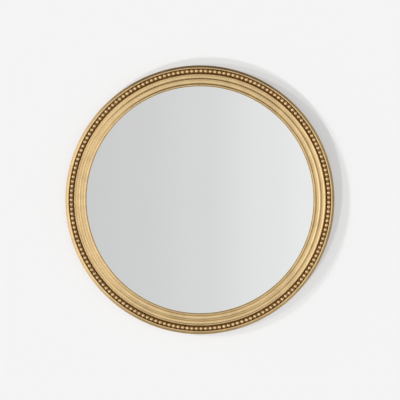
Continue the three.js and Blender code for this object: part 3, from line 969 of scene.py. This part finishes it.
class MIRROR_OT_frame(bpy.types.Operator):
    """Turns the gilded frame from its drawn section and drills the holes in its back"""

    bl_idname = "mirror.frame"
    bl_label = "Gilded Frame"

    TURNING_STEPS = 288
    COVE_STEPS = 14
    COVE_BEND = 3
    SHOULDER_STEPS = 12
    SHOULDER_TURN = math.radians(60)
    BRINK_ROUNDING = 1.0 * MM
    HOLLOW_ROUNDING = 0.9 * MM
    ARRIS_ROUNDING = 0.25 * MM

    def execute(self, context):
        size = settings("mirror_moulding")
        lip_crest = size.sight_radius + size.lip_width
        middle_crest = lip_crest + size.inner_cove_width
        outer_crest = middle_crest + size.outer_cove_width
        rim_inner = outer_crest + size.channel_width
        rim_outer = rim_inner + size.rim_width
        widest = rim_outer + size.shoulder_width
        back = widest - size.side_taper
        rebate = size.sight_radius + size.rebate_width
        half_crest = size.crest_width / 2

        sight_height = size.rebate_height + size.lip_thickness
        lip_height = sight_height + size.lip_rise
        middle_height = lip_height + size.inner_cove_rise
        outer_height = middle_height + size.outer_cove_rise
        floor_height = outer_height - size.channel_depth
        rim_height = outer_height + size.rim_rise
        side_height = rim_height - size.shoulder_drop

        def cove(edge_radius, edge_height, crest_radius, crest_height):
            """One hollow, level at its foot, and the riser inside it up to the crest's edge."""
            foot = crest_radius + half_crest + size.riser_run
            foot_height = crest_height - size.riser_drop
            run = edge_radius - foot
            rise = edge_height - foot_height
            hollow = []
            for step in range(self.COVE_STEPS, -1, -1):
                part = step / self.COVE_STEPS
                hollow.append((foot + part * run, foot_height + part**self.COVE_BEND * rise))
            return [*hollow, (crest_radius + half_crest, crest_height)]

        across = size.shoulder_width / (1 - math.cos(self.SHOULDER_TURN))
        upwards = size.shoulder_drop / math.sin(self.SHOULDER_TURN)
        shoulder = arc(
            (widest - across, side_height), (across, upwards), 0, self.SHOULDER_TURN,
            self.SHOULDER_STEPS,
        )
        outer_edge = outer_crest - size.outer_crest_width
        middle_edge = middle_crest - half_crest
        lip_edge = lip_crest - half_crest
        section = [
            (rebate, 0.0),
            (back - size.back_chamfer, 0.0),
            (back, size.back_chamfer),
            *shoulder,
            (rim_inner, rim_height),
            (rim_inner - size.outer_wall_run, floor_height),
            (outer_crest + size.inner_wall_run, floor_height),
            (outer_crest + size.brink, outer_height - size.brink),
            (outer_crest, outer_height),
            *cove(outer_edge, outer_height, middle_crest, middle_height),
            *cove(middle_edge, middle_height, lip_crest, lip_height),
            (lip_edge, lip_height),
            (size.sight_radius, sight_height),
            (size.sight_radius, size.rebate_height),
            (rebate, size.rebate_height),
        ]
        ring = trace_section("moulded_frame", section)
        fill_line()

        def places(*corners):
            return [lying(*corner) for corner in corners]

        brink = places((rim_inner, rim_height))
        arrises = places(
            (outer_crest, outer_height),
            (outer_edge, outer_height),
            (outer_crest + size.brink, outer_height - size.brink),
            (middle_crest + half_crest, middle_height),
            (middle_edge, middle_height),
            (lip_crest + half_crest, lip_height),
            (lip_edge, lip_height),
        )
        hollows = places(
            (rim_inner - size.outer_wall_run, floor_height),
            (outer_crest + size.inner_wall_run, floor_height),
        )
        risers = places(
            (middle_crest + half_crest + size.riser_run, middle_height - size.riser_drop),
            (lip_crest + half_crest + size.riser_run, lip_height - size.riser_drop),
        )
        edges = places(
            (size.sight_radius, sight_height),
            (size.sight_radius, size.rebate_height),
            (back - size.back_chamfer, 0.0),
            (back, size.back_chamfer),
            (rebate, 0.0),
        )
        round_points(brink, self.BRINK_ROUNDING, 5)
        round_points(arrises, self.ARRIS_ROUNDING, 2)
        round_points(hollows, self.HOLLOW_ROUNDING, 3)
        round_points(risers, self.ARRIS_ROUNDING, 2)
        round_points(edges, self.ARRIS_ROUNDING, 2)
        select_all()
        bpy.ops.mesh.delete(type="ONLY_FACE")
        turn_section(self.TURNING_STEPS)
        self.drill_pilots(ring)
        settle(ring, 50.0)
        dress(ring, gilded_frame_finish(), "gilded_frame", "mirror", "frame_ring")
        return {"FINISHED"}

    def drill_pilots(self, ring):
        """Pilot holes for the ten screws."""
        size = settings("mirror_fixings")
        depth = size.grip + MM
        for centre, _ in screw_places():
            drill(ring, (centre.x, -BACK_PLANE, centre.z), size.hole, 2 * depth, 16)


def strap_screw_drops():
    """How far below the eye each of a strap's screws stands."""
    return {"upper": 8.075 * MM, "lower": 23.5 * MM}


def eye_depth():
    """How far in front of the wall's plane the D-rings' hinge line lies, as a Y."""
    size = settings("mirror_fixings")
    return -BACK_PLANE + SEAT_GAP + size.eye_bore + size.strap_sheet


def strap_sides():
    size = settings("mirror_fixings")
    return {"left": -size.strap_place, "right": size.strap_place}


def screw_places():
    """Each screw's centre and turn: the buttons' first, then the straps'."""
    size = settings("mirror_fixings")
    turns = [FULL_TURN * number / BUTTONS for number in range(BUTTONS)]
    found = [(lying(size.button_circle, 0, turn), turn) for turn in turns]
    for across in strap_sides().values():
        for drop in strap_screw_drops().values():
            found.append((Vector((across, -BACK_PLANE, size.eye_height - drop)), 0.0))
    return found


# --- the beading


class MIRROR_OT_beading(bpy.types.Operator):
    """Presses one bead, lays it out in five lengths, and joins each on its web"""

    bl_idname = "mirror.beading"
    bl_label = "Pearl Beading"

    WEB_STEPS = 70
    SEED = 175
    MEAN_SIZE = -0.6  # the mean bead, in shares of the unevenness

    def execute(self, context):
        size = settings("mirror_beading")
        finish = gilded_beading_finish()
        bead = self.press_bead(size)
        chance = random.Random(self.SEED)
        whole = FULL_TURN / BEAD_LENGTHS
        gap = SEAT_GAP / size.bead_circle
        step = (whole - gap) / BEADS_IN_LENGTH
        for number in range(BEAD_LENGTHS):
            start = number * whole + gap / 2
            members = [self.web(size, start, whole - gap)]
            for place in range(BEADS_IN_LENGTH):
                turn = start + (place + 0.5) * step
                members.append(self.lay(bead, size, turn, chance))
            strip = join(members, f"bead_length_{number + 1}")
            settle(strip, 60.0)
            dress(strip, finish, "gilded_beading", "mirror", f"bead_strip_{number + 1}")
        bpy.data.objects.remove(bead)
        return {"FINISHED"}

    def press_bead(self, size):
        """A pearl with its pole to the front and its back cut flat."""
        put_all_down()
        middle = lying(size.bead_circle, size.strip_back + size.bead_rise)
        bpy.ops.mesh.primitive_uv_sphere_add(
            segments=12,
            ring_count=7,
            radius=size.bead / 2,
            location=middle,
            rotation=(RIGHT_ANGLE, 0, 0),
        )
        bead = named("bead")
        edit(bead)
        bpy.ops.mesh.bisect(
            plane_co=lying(0, size.strip_back),
            plane_no=(0, 1, 0),
            use_fill=True,
            clear_outer=True,
        )
        settle(bead, 60.0)
        return bead

    def lay(self, bead, size, turn, chance):
        """One more bead, a little larger or smaller than the next and a little off its line."""
        twin = copy_at(bead, "bead_copy")
        middle = lying(size.bead_circle, size.strip_back)
        edit(twin)
        growth = [self.growth(size, chance) for _ in range(3)]
        bpy.ops.transform.resize(value=growth, center_override=middle)
        leave_edit()
        turned = copy_at(twin, "bead_laid", turn)
        bpy.data.objects.remove(twin)
        return turned

    def growth(self, size, chance):
        return 1 + size.unevenness * (2 * chance.random() - 1 + self.MEAN_SIZE)

    def web(self, size, start, sweep):
        """The thin rounded web that the beads stand on."""
        middle_height = size.strip_back + size.bead_rise
        low = math.asin(size.bead_rise / size.web)
        radii = (size.web, size.web)
        outline = arc((size.bead_circle, middle_height), radii, -low, math.pi + low, 6)
        web = trace_section("web", outline)
        fill_line()
        bpy.ops.mesh.spin(steps=self.WEB_STEPS, angle=sweep, center=(0, 0, 0), axis=(0, 1, 0))
        close_skin()
        leave_edit()
        fix_place()
        turned = copy_at(web, "web_laid", start)
        bpy.data.objects.remove(web)
        return turned


# --- glass and board


class MIRROR_OT_glass(bpy.types.Operator):
    """Turns the domed, silvered glass"""

    bl_idname = "mirror.glass"
    bl_label = "Domed Glass"

    TURNING_STEPS = 256
    DOME_STEPS = 20
    EDGE_BEVEL = 0.5 * MM

    def execute(self, context):
        size = settings("mirror_glass")
        bevel = self.EDGE_BEVEL
        centre_height = size.apex - size.curve
        inner_curve = size.curve - size.thickness

        def dome(curve, radius):
            return centre_height + math.sqrt(curve**2 - radius**2)

        reach = size.glass_radius - bevel
        radii = [reach * step / self.DOME_STEPS for step in range(self.DOME_STEPS + 1)]
        front = [(radius, dome(size.curve, radius)) for radius in radii]
        back = [(radius, dome(inner_curve, radius)) for radius in reversed(radii)]
        edge = [
            (size.glass_radius, dome(size.curve, size.glass_radius) - bevel),
            (size.glass_radius, dome(inner_curve, size.glass_radius) + bevel),
        ]
        glass = trace_section("convex_glass", [*front, *edge, *back])
        turn_section(self.TURNING_STEPS)
        settle(glass, 30.0)
        dress(glass, silvered_glass_finish(), "silvered_glass", "mirror", "mirror_glass")
        return {"FINISHED"}


class MIRROR_OT_board(bpy.types.Operator):
    """Cuts the round fibreboard that closes the back"""

    bl_idname = "mirror.board"
    bl_label = "Backing Board"

    TURNING_STEPS = 192
    FACE_STEPS = 6
    EDGE_BEVEL = 0.5 * MM

    def execute(self, context):
        size = settings("mirror_glass")
        low = size.board_recess
        high = low + size.board_thickness
        ease = self.EDGE_BEVEL
        steps = [size.board_radius * step / self.FACE_STEPS for step in range(self.FACE_STEPS)]
        outline = [(radius, low) for radius in steps]
        outline += [(size.board_radius - ease, low), (size.board_radius, low + ease)]
        outline += [(size.board_radius, high - ease), (size.board_radius - ease, high)]
        outline += [(radius, high) for radius in reversed(steps)]
        board = trace_section("back_board", outline)
        turn_section(self.TURNING_STEPS)
        settle(board, 30.0)
        dress(board, board_finish(), "fibreboard", "mirror", "backing_board")
        return {"FINISHED"}


class MIRROR_OT_packing(bpy.types.Operator):
    """Gives the hidden tape and packing ring, which keep their solids, their own finishes"""

    bl_idname = "mirror.packing"
    bl_label = "Tape and Packing"

    def execute(self, context):
        finishes = {"glazing_tape": tape_finish(), "packing_ring": cork_finish()}
        for node, finish in finishes.items():
            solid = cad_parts[node]
            solid.data.materials.clear()
            solid.data.materials.append(finish)
        return {"FINISHED"}


# --- fixings


def brass_finish():
    return plated_finish("plated_brass", tint("brass"), (0.23, 0.135, 0.05), 0.6, 0.30)


def zinc_finish():
    return plated_finish("plated_zinc", tint("zinc"), (0.27, 0.27, 0.26), 0.5, 0.28)


class MIRROR_OT_buttons(bpy.types.Operator):
    """Stamps one teardrop turn button and copies it to its six places"""

    bl_idname = "mirror.buttons"
    bl_label = "Turn Buttons"

    def execute(self, context):
        size = settings("mirror_fixings")
        lean = math.asin((size.button_heel - size.button_tip) / size.button_reach)
        half = RIGHT_ANGLE + lean
        heel = arc((0, 0), (size.button_heel, size.button_heel), -half, half, 20)
        tip = arc(
            (-size.button_reach, 0), (size.button_tip, size.button_tip), half, FULL_TURN - half, 14
        )
        top = -BACK_PLANE + SEAT_GAP
        outline = [
            Vector((size.button_circle + across, top, up)) for across, up in (*heel, *tip)
        ]
        plate = trace("button_plate", outline)
        fill_line()
        pull((0, size.button_thickness, 0))
        close_skin()
        leave_edit()
        drill(plate, (size.button_circle, top, 0), size.hole, 10 * size.button_thickness)
        ease_edges(plate, 0.28 * MM, 3)
        settle(plate, 35.0)
        rows = []
        for number in range(BUTTONS):
            node = f"turn_button_{number + 1}"
            turn = FULL_TURN * number / BUTTONS
            rows.append((f"button_plate_{number + 1}", turn, (0, 0, 0), node, node))
        lay_out(plate, brass_finish(), "brass_plate", rows)
        return {"FINISHED"}


class MIRROR_OT_screws(bpy.types.Operator):
    """Turns one pan-head screw, cuts its cross, and copies it for the buttons and the straps"""

    bl_idname = "mirror.screws"
    bl_label = "Screws"

    SEED = 10
    HEAD_SIDE = 0.6 * MM  # the straight side of a head, under its dome
    POINT_LENGTH = 3 * MM
    WING = (3.2 * MM, 2.2 * MM, 0.8 * MM)  # length, depth on both sides of the crown, width

    def execute(self, context):
        size = settings("mirror_fixings")
        names = [f"turn_button_screw_{number + 1}" for number in range(BUTTONS)]
        for side in strap_sides():
            names += [f"hanger_screw_{side}_{place}" for place in strap_screw_drops()]
        chance = random.Random(self.SEED)
        rows = []
        for node, (centre, turn) in zip(names, screw_places()):
            turned = turn + chance.uniform(0, RIGHT_ANGLE)
            rows.append((f"{node}_piece", turned, (centre.x, 0, centre.z), "mirror", node))
        button_screw = self.turn_screw(size, 2 * SEAT_GAP + size.button_thickness)
        lay_out(button_screw, brass_finish(), "brass_plate", rows[:BUTTONS])
        strap_screw = self.turn_screw(size, 2 * SEAT_GAP + 2 * size.strap_sheet)
        lay_out(strap_screw, zinc_finish(), "zinc_plate", rows[BUTTONS:])
        return {"FINISHED"}

    def turn_screw(self, size, seat):
        """A screw on the mirror's own axis, its head's underside this far behind the frame."""
        crown = seat + size.head_height
        radii = (size.head_radius, size.head_height - self.HEAD_SIDE)
        dome = arc((0, -seat - self.HEAD_SIDE), radii, -RIGHT_ANGLE, 0, 8)
        neck = size.grip - self.POINT_LENGTH
        outline = [
            *((max(0.0, radius), height) for radius, height in dome),
            (size.head_radius, -seat),
            (size.shank, -seat),
            (size.shank, neck),
            (0.35 * size.shank, size.grip - 0.5 * MM),
            (0.0, size.grip),
        ]
        screw = trace_section("screw", outline)
        turn_section(32)
        leave_edit()
        fix_place()
        for turn in (0.0, RIGHT_ANGLE):
            self.cut_wing(screw, crown, turn)
        ease_edges(screw, 0.08 * MM)
        return settle(screw, 35.0)

    def cut_wing(self, screw, crown, turn):
        """One wing of the cross, narrower at its bottom."""
        put_all_down()
        bpy.ops.mesh.primitive_cube_add(size=1.0, location=lying(0, -crown))
        wing = named("wing")
        wing.scale = self.WING
        fix_place()
        edit(wing)
        deep = -BACK_PLANE + crown
        pick_points(lambda point: point.y < deep)
        bpy.ops.transform.resize(value=(0.62, 1.0, 0.8), center_override=lying(0, -crown))
        leave_edit()
        wing.rotation_euler = (0, turn, 0)
        fix_place()
        take_away(screw, wing)


class MIRROR_OT_straps(bpy.types.Operator):
    """Folds each hanger's strap round its eye and drills it"""

    bl_idname = "mirror.straps"
    bl_label = "Hanger Straps"

    KINK_ROUNDING = 0.7 * MM
    CORNER_ROUNDING = 2.2 * MM
    FOLD_CLEARANCE = 0.05 * MM  # between the two sheets of a folded strap
    SAME = 0.01 * MM  # places closer than this are one

    def execute(self, context):
        size = settings("mirror_fixings")
        middle = size.eye_bore + size.strap_sheet / 2
        axis = Vector((0, eye_depth(), size.eye_height))
        upper = middle - size.strap_sheet
        close = math.pi - math.asin(upper / middle)
        foot = -size.strap_length
        loop = arc((0, 0), (middle, middle), RIGHT_ANGLE, close - FULL_TURN, 24)
        line = [(foot, middle), (foot / 2, middle), *loop, (foot / 2, upper), (foot, upper)]
        route = [axis + Vector((0, -depth, along)) for along, depth in line]
        half = Vector((-size.strap_width / 2, 0, 0))
        strap = trace("strap", [place + half for place in route])
        select_all()
        bpy.ops.mesh.extrude_edges_move(TRANSFORM_OT_translate={"value": (size.strap_width, 0, 0)})
        kink = route[-3]
        pick_edges(lambda *ends: all((end - kink).yz.length < self.SAME for end in ends))
        bpy.ops.mesh.bevel(offset=self.KINK_ROUNDING, segments=4, affect="EDGES")
        select_all()
        bpy.ops.mesh.normals_make_consistent(inside=False)
        leave_edit()
        sheet = size.strap_sheet - self.FOLD_CLEARANCE
        apply_modifier(strap, "SOLIDIFY", thickness=sheet, offset=0.0, use_even_offset=True)
        foot_height = axis.z + foot + self.SAME
        side = size.strap_width / 2 - self.SAME

        def at_foot_corner(a, b):
            low = max(a.z, b.z) < foot_height
            return low and abs(a.x - b.x) < self.SAME and abs(a.x) > side

        edit(strap)
        pick_edges(at_foot_corner)
        bpy.ops.mesh.bevel(offset=self.CORNER_ROUNDING, segments=5, affect="EDGES")
        leave_edit()
        for drop in strap_screw_drops().values():
            drill(strap, (0, -BACK_PLANE, size.eye_height - drop), size.hole, 20 * MM)
        ease_edges(strap, 0.12 * MM)
        settle(strap, 35.0)
        rows = [
            (f"strap_{side}", 0.0, (across, 0, 0), "mirror", f"hanger_strap_{side}")
            for side, across in strap_sides().items()
        ]
        lay_out(strap, zinc_finish(), "zinc_plate", rows)
        return {"FINISHED"}


class MIRROR_OT_rings(bpy.types.Operator):
    """Bends a wire into a D and hangs it in each strap's eye"""

    bl_idname = "mirror.rings"
    bl_label = "D-Rings"

    def execute(self, context):
        size = settings("mirror_fixings")
        corner = size.ring_corner
        straight = size.ring_half_width - corner
        radii = (corner, corner)
        bow = (size.ring_half_width, size.ring_height - corner)
        line = [
            (SEAT_GAP / 2, 0.0),
            *arc((straight, corner), radii, -RIGHT_ANGLE, 0, 8),
            *arc((0, corner), bow, 0, math.pi, 36)[1:-1],
            *arc((-straight, corner), radii, math.pi, 3 * RIGHT_ANGLE, 8),
            (-SEAT_GAP / 2, 0.0),
        ]
        eye = Vector((0, eye_depth(), size.eye_height))
        ring = trace("d_ring", [eye + Vector((across, 0, up)) for across, up in line])
        leave_edit()
        pick_up(ring)
        bpy.ops.object.convert(target="CURVE")
        wire = bpy.context.object
        wire.data.bevel_depth = size.wire
        wire.data.bevel_resolution = 4
        wire.data.use_fill_caps = True
        bpy.ops.object.convert(target="MESH")
        ring = named("d_ring_wire")
        edit(ring)
        close_skin()
        settle(ring, 45.0)
        rows = [
            (f"ring_{side}", 0.0, (across, 0, 0), f"d_ring_{side}", f"d_ring_{side}")
            for side, across in strap_sides().items()
        ]
        lay_out(ring, zinc_finish(), "zinc_plate", rows)
        return {"FINISHED"}


class MIRROR_OT_bumpers(bpy.types.Operator):
    """Moulds one rubber bumper and sticks four to the frame's back"""

    bl_idname = "mirror.bumpers"
    bl_label = "Wall Bumpers"

    FACE_RADIUS = 5 * MM
    SIDE_HEIGHT = 2 * MM
    FACE_HOLLOW = 0.25 * MM
    EDGE_BEVEL = 0.2 * MM

    def execute(self, context):
        size = settings("mirror_fixings")
        wall = -BACK_PLANE
        shoulder = -SEAT_GAP - self.SIDE_HEIGHT
        face = self.FACE_RADIUS
        rounding = arc((face, shoulder), (size.bumper - face, wall - shoulder), RIGHT_ANGLE, 0, 8)
        outline = [
            (0.0, wall + self.FACE_HOLLOW),
            (face * 0.45, wall + 0.80 * self.FACE_HOLLOW),
            (face * 0.8, wall + 0.08 * self.FACE_HOLLOW),
            *rounding,
            (size.bumper, -SEAT_GAP - self.EDGE_BEVEL),
            (size.bumper - self.EDGE_BEVEL, -SEAT_GAP),
            (0.0, -SEAT_GAP),
        ]
        foot = trace_section("bumper", outline)
        turn_section(40)
        settle(foot, 40.0)
        rows = []
        for number, turn in enumerate(BUMPER_TURNS):
            shift = lying(size.bumper_circle, 0, turn) - lying(0, 0)
            node = f"wall_bumper_{number + 1}"
            rows.append((f"bumper_{number + 1}", 0.0, shift, "mirror", node))
        lay_out(foot, rubber_finish(), "bumper_rubber", rows)
        return {"FINISHED"}


# --- the studio

# The room's brightness from left to right, and how it falls off up and down.
ROOM_ACROSS = [
    (0.00, 1.25),
    (0.12, 1.30),
    (0.20, 0.92),
    (0.26, 0.645),
    (0.35, 0.665),
    (0.50, 0.72),
    (0.65, 0.82),
    (0.74, 0.87),
    (0.82, 0.72),
    (0.92, 0.45),
    (1.00, 0.40),
]
ROOM_UPWARDS = [
    (0.00, 0.55),
    (0.12, 0.75),
    (0.27, 1.00),
    (0.74, 1.00),
    (0.81, 0.70),
    (0.90, 0.17),
    (1.00, 0.14),
]


class MIRROR_OT_studio(bpy.types.Operator):
    """Builds the pale wall and floor, the soft light and the camera"""

    bl_idname = "mirror.studio"
    bl_label = "Studio"

    HALF_WIDTH = 6.0
    WALL_TOP = 5.0
    FLOOR = -1.2
    FLOOR_FRONT = -6.0
    CORNER_RADIUS = 0.4

    def execute(self, context):
        size = settings("mirror_studio")
        self.sweep(size)
        self.room(context, size)
        self.lamps(size)
        put_all_down()
        bpy.ops.object.camera_add(
            location=(0, -size.camera_distance, 0), rotation=(RIGHT_ANGLE, 0, 0)
        )
        camera = named("studio_camera")
        camera.data.lens = size.focal_length
        camera.data.sensor_width = 36
        camera.data.shift_y = -0.0006
        camera.data.clip_end = 50
        context.scene.camera = camera
        context.scene.view_settings.view_transform = "Standard"
        return {"FINISHED"}

    def sweep(self, size):
        """Wall and floor in one sheet, which faces the room and is clear from behind."""
        behind = SEAT_GAP
        corner = self.CORNER_RADIUS
        cove = arc((behind - corner, self.FLOOR + corner), (corner, corner), 0, -RIGHT_ANGLE, 10)
        line = [(behind, self.WALL_TOP), *cove, (self.FLOOR_FRONT, self.FLOOR)]
        sheet = trace("studio_sweep", [Vector((-self.HALF_WIDTH, *place)) for place in line])
        width = (2 * self.HALF_WIDTH, 0, 0)
        select_all()
        bpy.ops.mesh.extrude_edges_move(TRANSFORM_OT_translate={"value": width})
        leave_edit()
        wall = max(sheet.data.polygons, key=lambda face: face.area)
        if wall.normal.y > 0 or wall.normal.z < -0.5:
            edit(sheet)
            bpy.ops.mesh.flip_normals()
        settle(sheet, 30.0)
        sheet.data.materials.append(self.sweep_finish(size))

    def sweep_finish(self, size):
        material = bpy.data.materials.new("studio_sweep")
        material.use_nodes = True
        tree = material.node_tree
        tree.nodes.clear()
        level = size.wall_colour
        matt = put(tree, "ShaderNodeBsdfDiffuse", {"Color": (level, level, level, 1.0)})
        lift = size.background - level
        glow = put(tree, "ShaderNodeEmission", {"Color": (lift, lift, lift, 1.0), "Strength": 1.0})
        lit = put(tree, "ShaderNodeAddShader", {0: matt.outputs[0], 1: glow.outputs[0]})
        clear = put(tree, "ShaderNodeBsdfTransparent")
        rays = put(tree, "ShaderNodeLightPath").outputs
        back = put(tree, "ShaderNodeNewGeometry").outputs["Backfacing"]
        seen = calc(tree, "MULTIPLY", rays["Is Camera Ray"], calc(tree, "SUBTRACT", 1.0, back))
        shown = put(
            tree, "ShaderNodeMixShader", {0: seen, 1: clear.outputs[0], 2: lit.outputs[0]}
        )
        put(tree, "ShaderNodeOutputMaterial", {"Surface": shown.outputs[0]})
        return material

    def room(self, context, size):
        """A pale background, and a room whose light is soft and stronger on the left."""
        world = bpy.data.worlds.new("studio_room")
        context.scene.world = world
        world.use_nodes = True
        tree = world.node_tree
        tree.nodes.clear()
        way = put(tree, "ShaderNodeTexCoord").outputs["Generated"]
        parts = put(tree, "ShaderNodeSeparateXYZ", {"Vector": way}).outputs
        sideways = span(tree, parts["X"], -1.0, 1.0, smooth=False)
        upright = span(tree, parts["Z"], -1.0, 1.0, smooth=False)
        across = ramp(tree, sideways, halved(ROOM_ACROSS), "EASE")
        upwards = ramp(tree, upright, ROOM_UPWARDS, "EASE")
        room = mix(tree, 1.0, across, upwards, "MULTIPLY")
        rays = put(tree, "ShaderNodeLightPath").outputs
        soften = calc(tree, "MULTIPLY_ADD", rays["Is Diffuse Ray"], -0.6, 2.0)
        lit = put(tree, "ShaderNodeBackground", {"Color": room, "Strength": soften})
        pale = (size.background, size.background, size.background, 1.0)
        plain = put(tree, "ShaderNodeBackground", {"Color": pale, "Strength": 1.0})
        seen = calc(tree, "MAXIMUM", rays["Is Camera Ray"], rays["Is Transmission Ray"])
        shown = put(tree, "ShaderNodeMixShader", {0: seen, 1: lit.outputs[0], 2: plain.outputs[0]})
        put(tree, "ShaderNodeOutputWorld", {"Surface": shown.outputs[0]})

    def lamps(self, size):
        """A soft key light from the left, and two behind the mirror for its back."""
        rows = (
            ("key_light_side", 0.25 * size.key_strength, (-1.56, -1.0, -0.27), 4.0),
            ("key_light_high", 0.31 * size.key_strength, (-1.56, -1.0, 0.30), 4.0),
            ("key_light_low", 0.44 * size.key_strength, (-0.88, -1.0, -0.88), 5.0),
            ("rear_light_left", size.rear_strength, (-0.55, 0.75, 0.40), 12.0),
            ("rear_light_right", 0.6 * size.rear_strength, (0.70, 0.65, 0.15), 12.0),
        )
        for name, strength, source, spread in rows:
            put_all_down()
            aim = (-Vector(source)).to_track_quat("-Z", "Y").to_euler()
            bpy.ops.object.light_add(type="SUN", location=Vector(source) * 3, rotation=aim)
            lamp = named(name)
            lamp.data.energy = strength
            lamp.data.angle = math.radians(spread)
            lamp.visible_glossy = False


def halved(stops):
    """Levels above 1 don't fit a ramp, so the ramp holds half of each and the strength doubles."""
    return [(place, level / 2) for place, level in stops]


# --- panel and run

OPERATORS = (
    MIRROR_OT_frame,
    MIRROR_OT_beading,
    MIRROR_OT_glass,
    MIRROR_OT_board,
    MIRROR_OT_packing,
    MIRROR_OT_buttons,
    MIRROR_OT_screws,
    MIRROR_OT_straps,
    MIRROR_OT_rings,
    MIRROR_OT_bumpers,
    MIRROR_OT_studio,
)


class MIRROR_PT_pieces(bpy.types.Panel):
    """Lists the mirror's pieces and its settings"""

    bl_idname = "MIRROR_PT_pieces"
    bl_label = "Convex Mirror"
    bl_space_type = "VIEW_3D"
    bl_region_type = "UI"
    bl_category = "Mirror"

    def draw(self, context):
        layout = self.layout
        for operator in OPERATORS:
            layout.operator(operator.bl_idname)
        for name in SETTINGS:
            group = getattr(context.scene, name)
            box = layout.box()
            for entry in group.bl_rna.properties:
                if not entry.is_readonly and entry.identifier != "name":
                    box.prop(group, entry.identifier)


def register():
    for kind in (*SETTINGS.values(), *OPERATORS, MIRROR_PT_pieces):
        bpy.utils.register_class(kind)
    for name, kind in SETTINGS.items():
        setattr(bpy.types.Scene, name, bpy.props.PointerProperty(type=kind))


def unregister():
    for name in SETTINGS:
        delattr(bpy.types.Scene, name)
    for kind in reversed((*SETTINGS.values(), *OPERATORS, MIRROR_PT_pieces)):
        bpy.utils.unregister_class(kind)


def main():
    register()
    build_shared_effects()
    bpy.ops.mirror.frame()
    bpy.ops.mirror.beading()
    bpy.ops.mirror.glass()
    bpy.ops.mirror.board()
    bpy.ops.mirror.packing()
    bpy.ops.mirror.buttons()
    bpy.ops.mirror.screws()
    bpy.ops.mirror.straps()
    bpy.ops.mirror.rings()
    bpy.ops.mirror.bumpers()
    bpy.ops.mirror.studio()
    put_all_down()


if __name__ == "__main__":
    main()
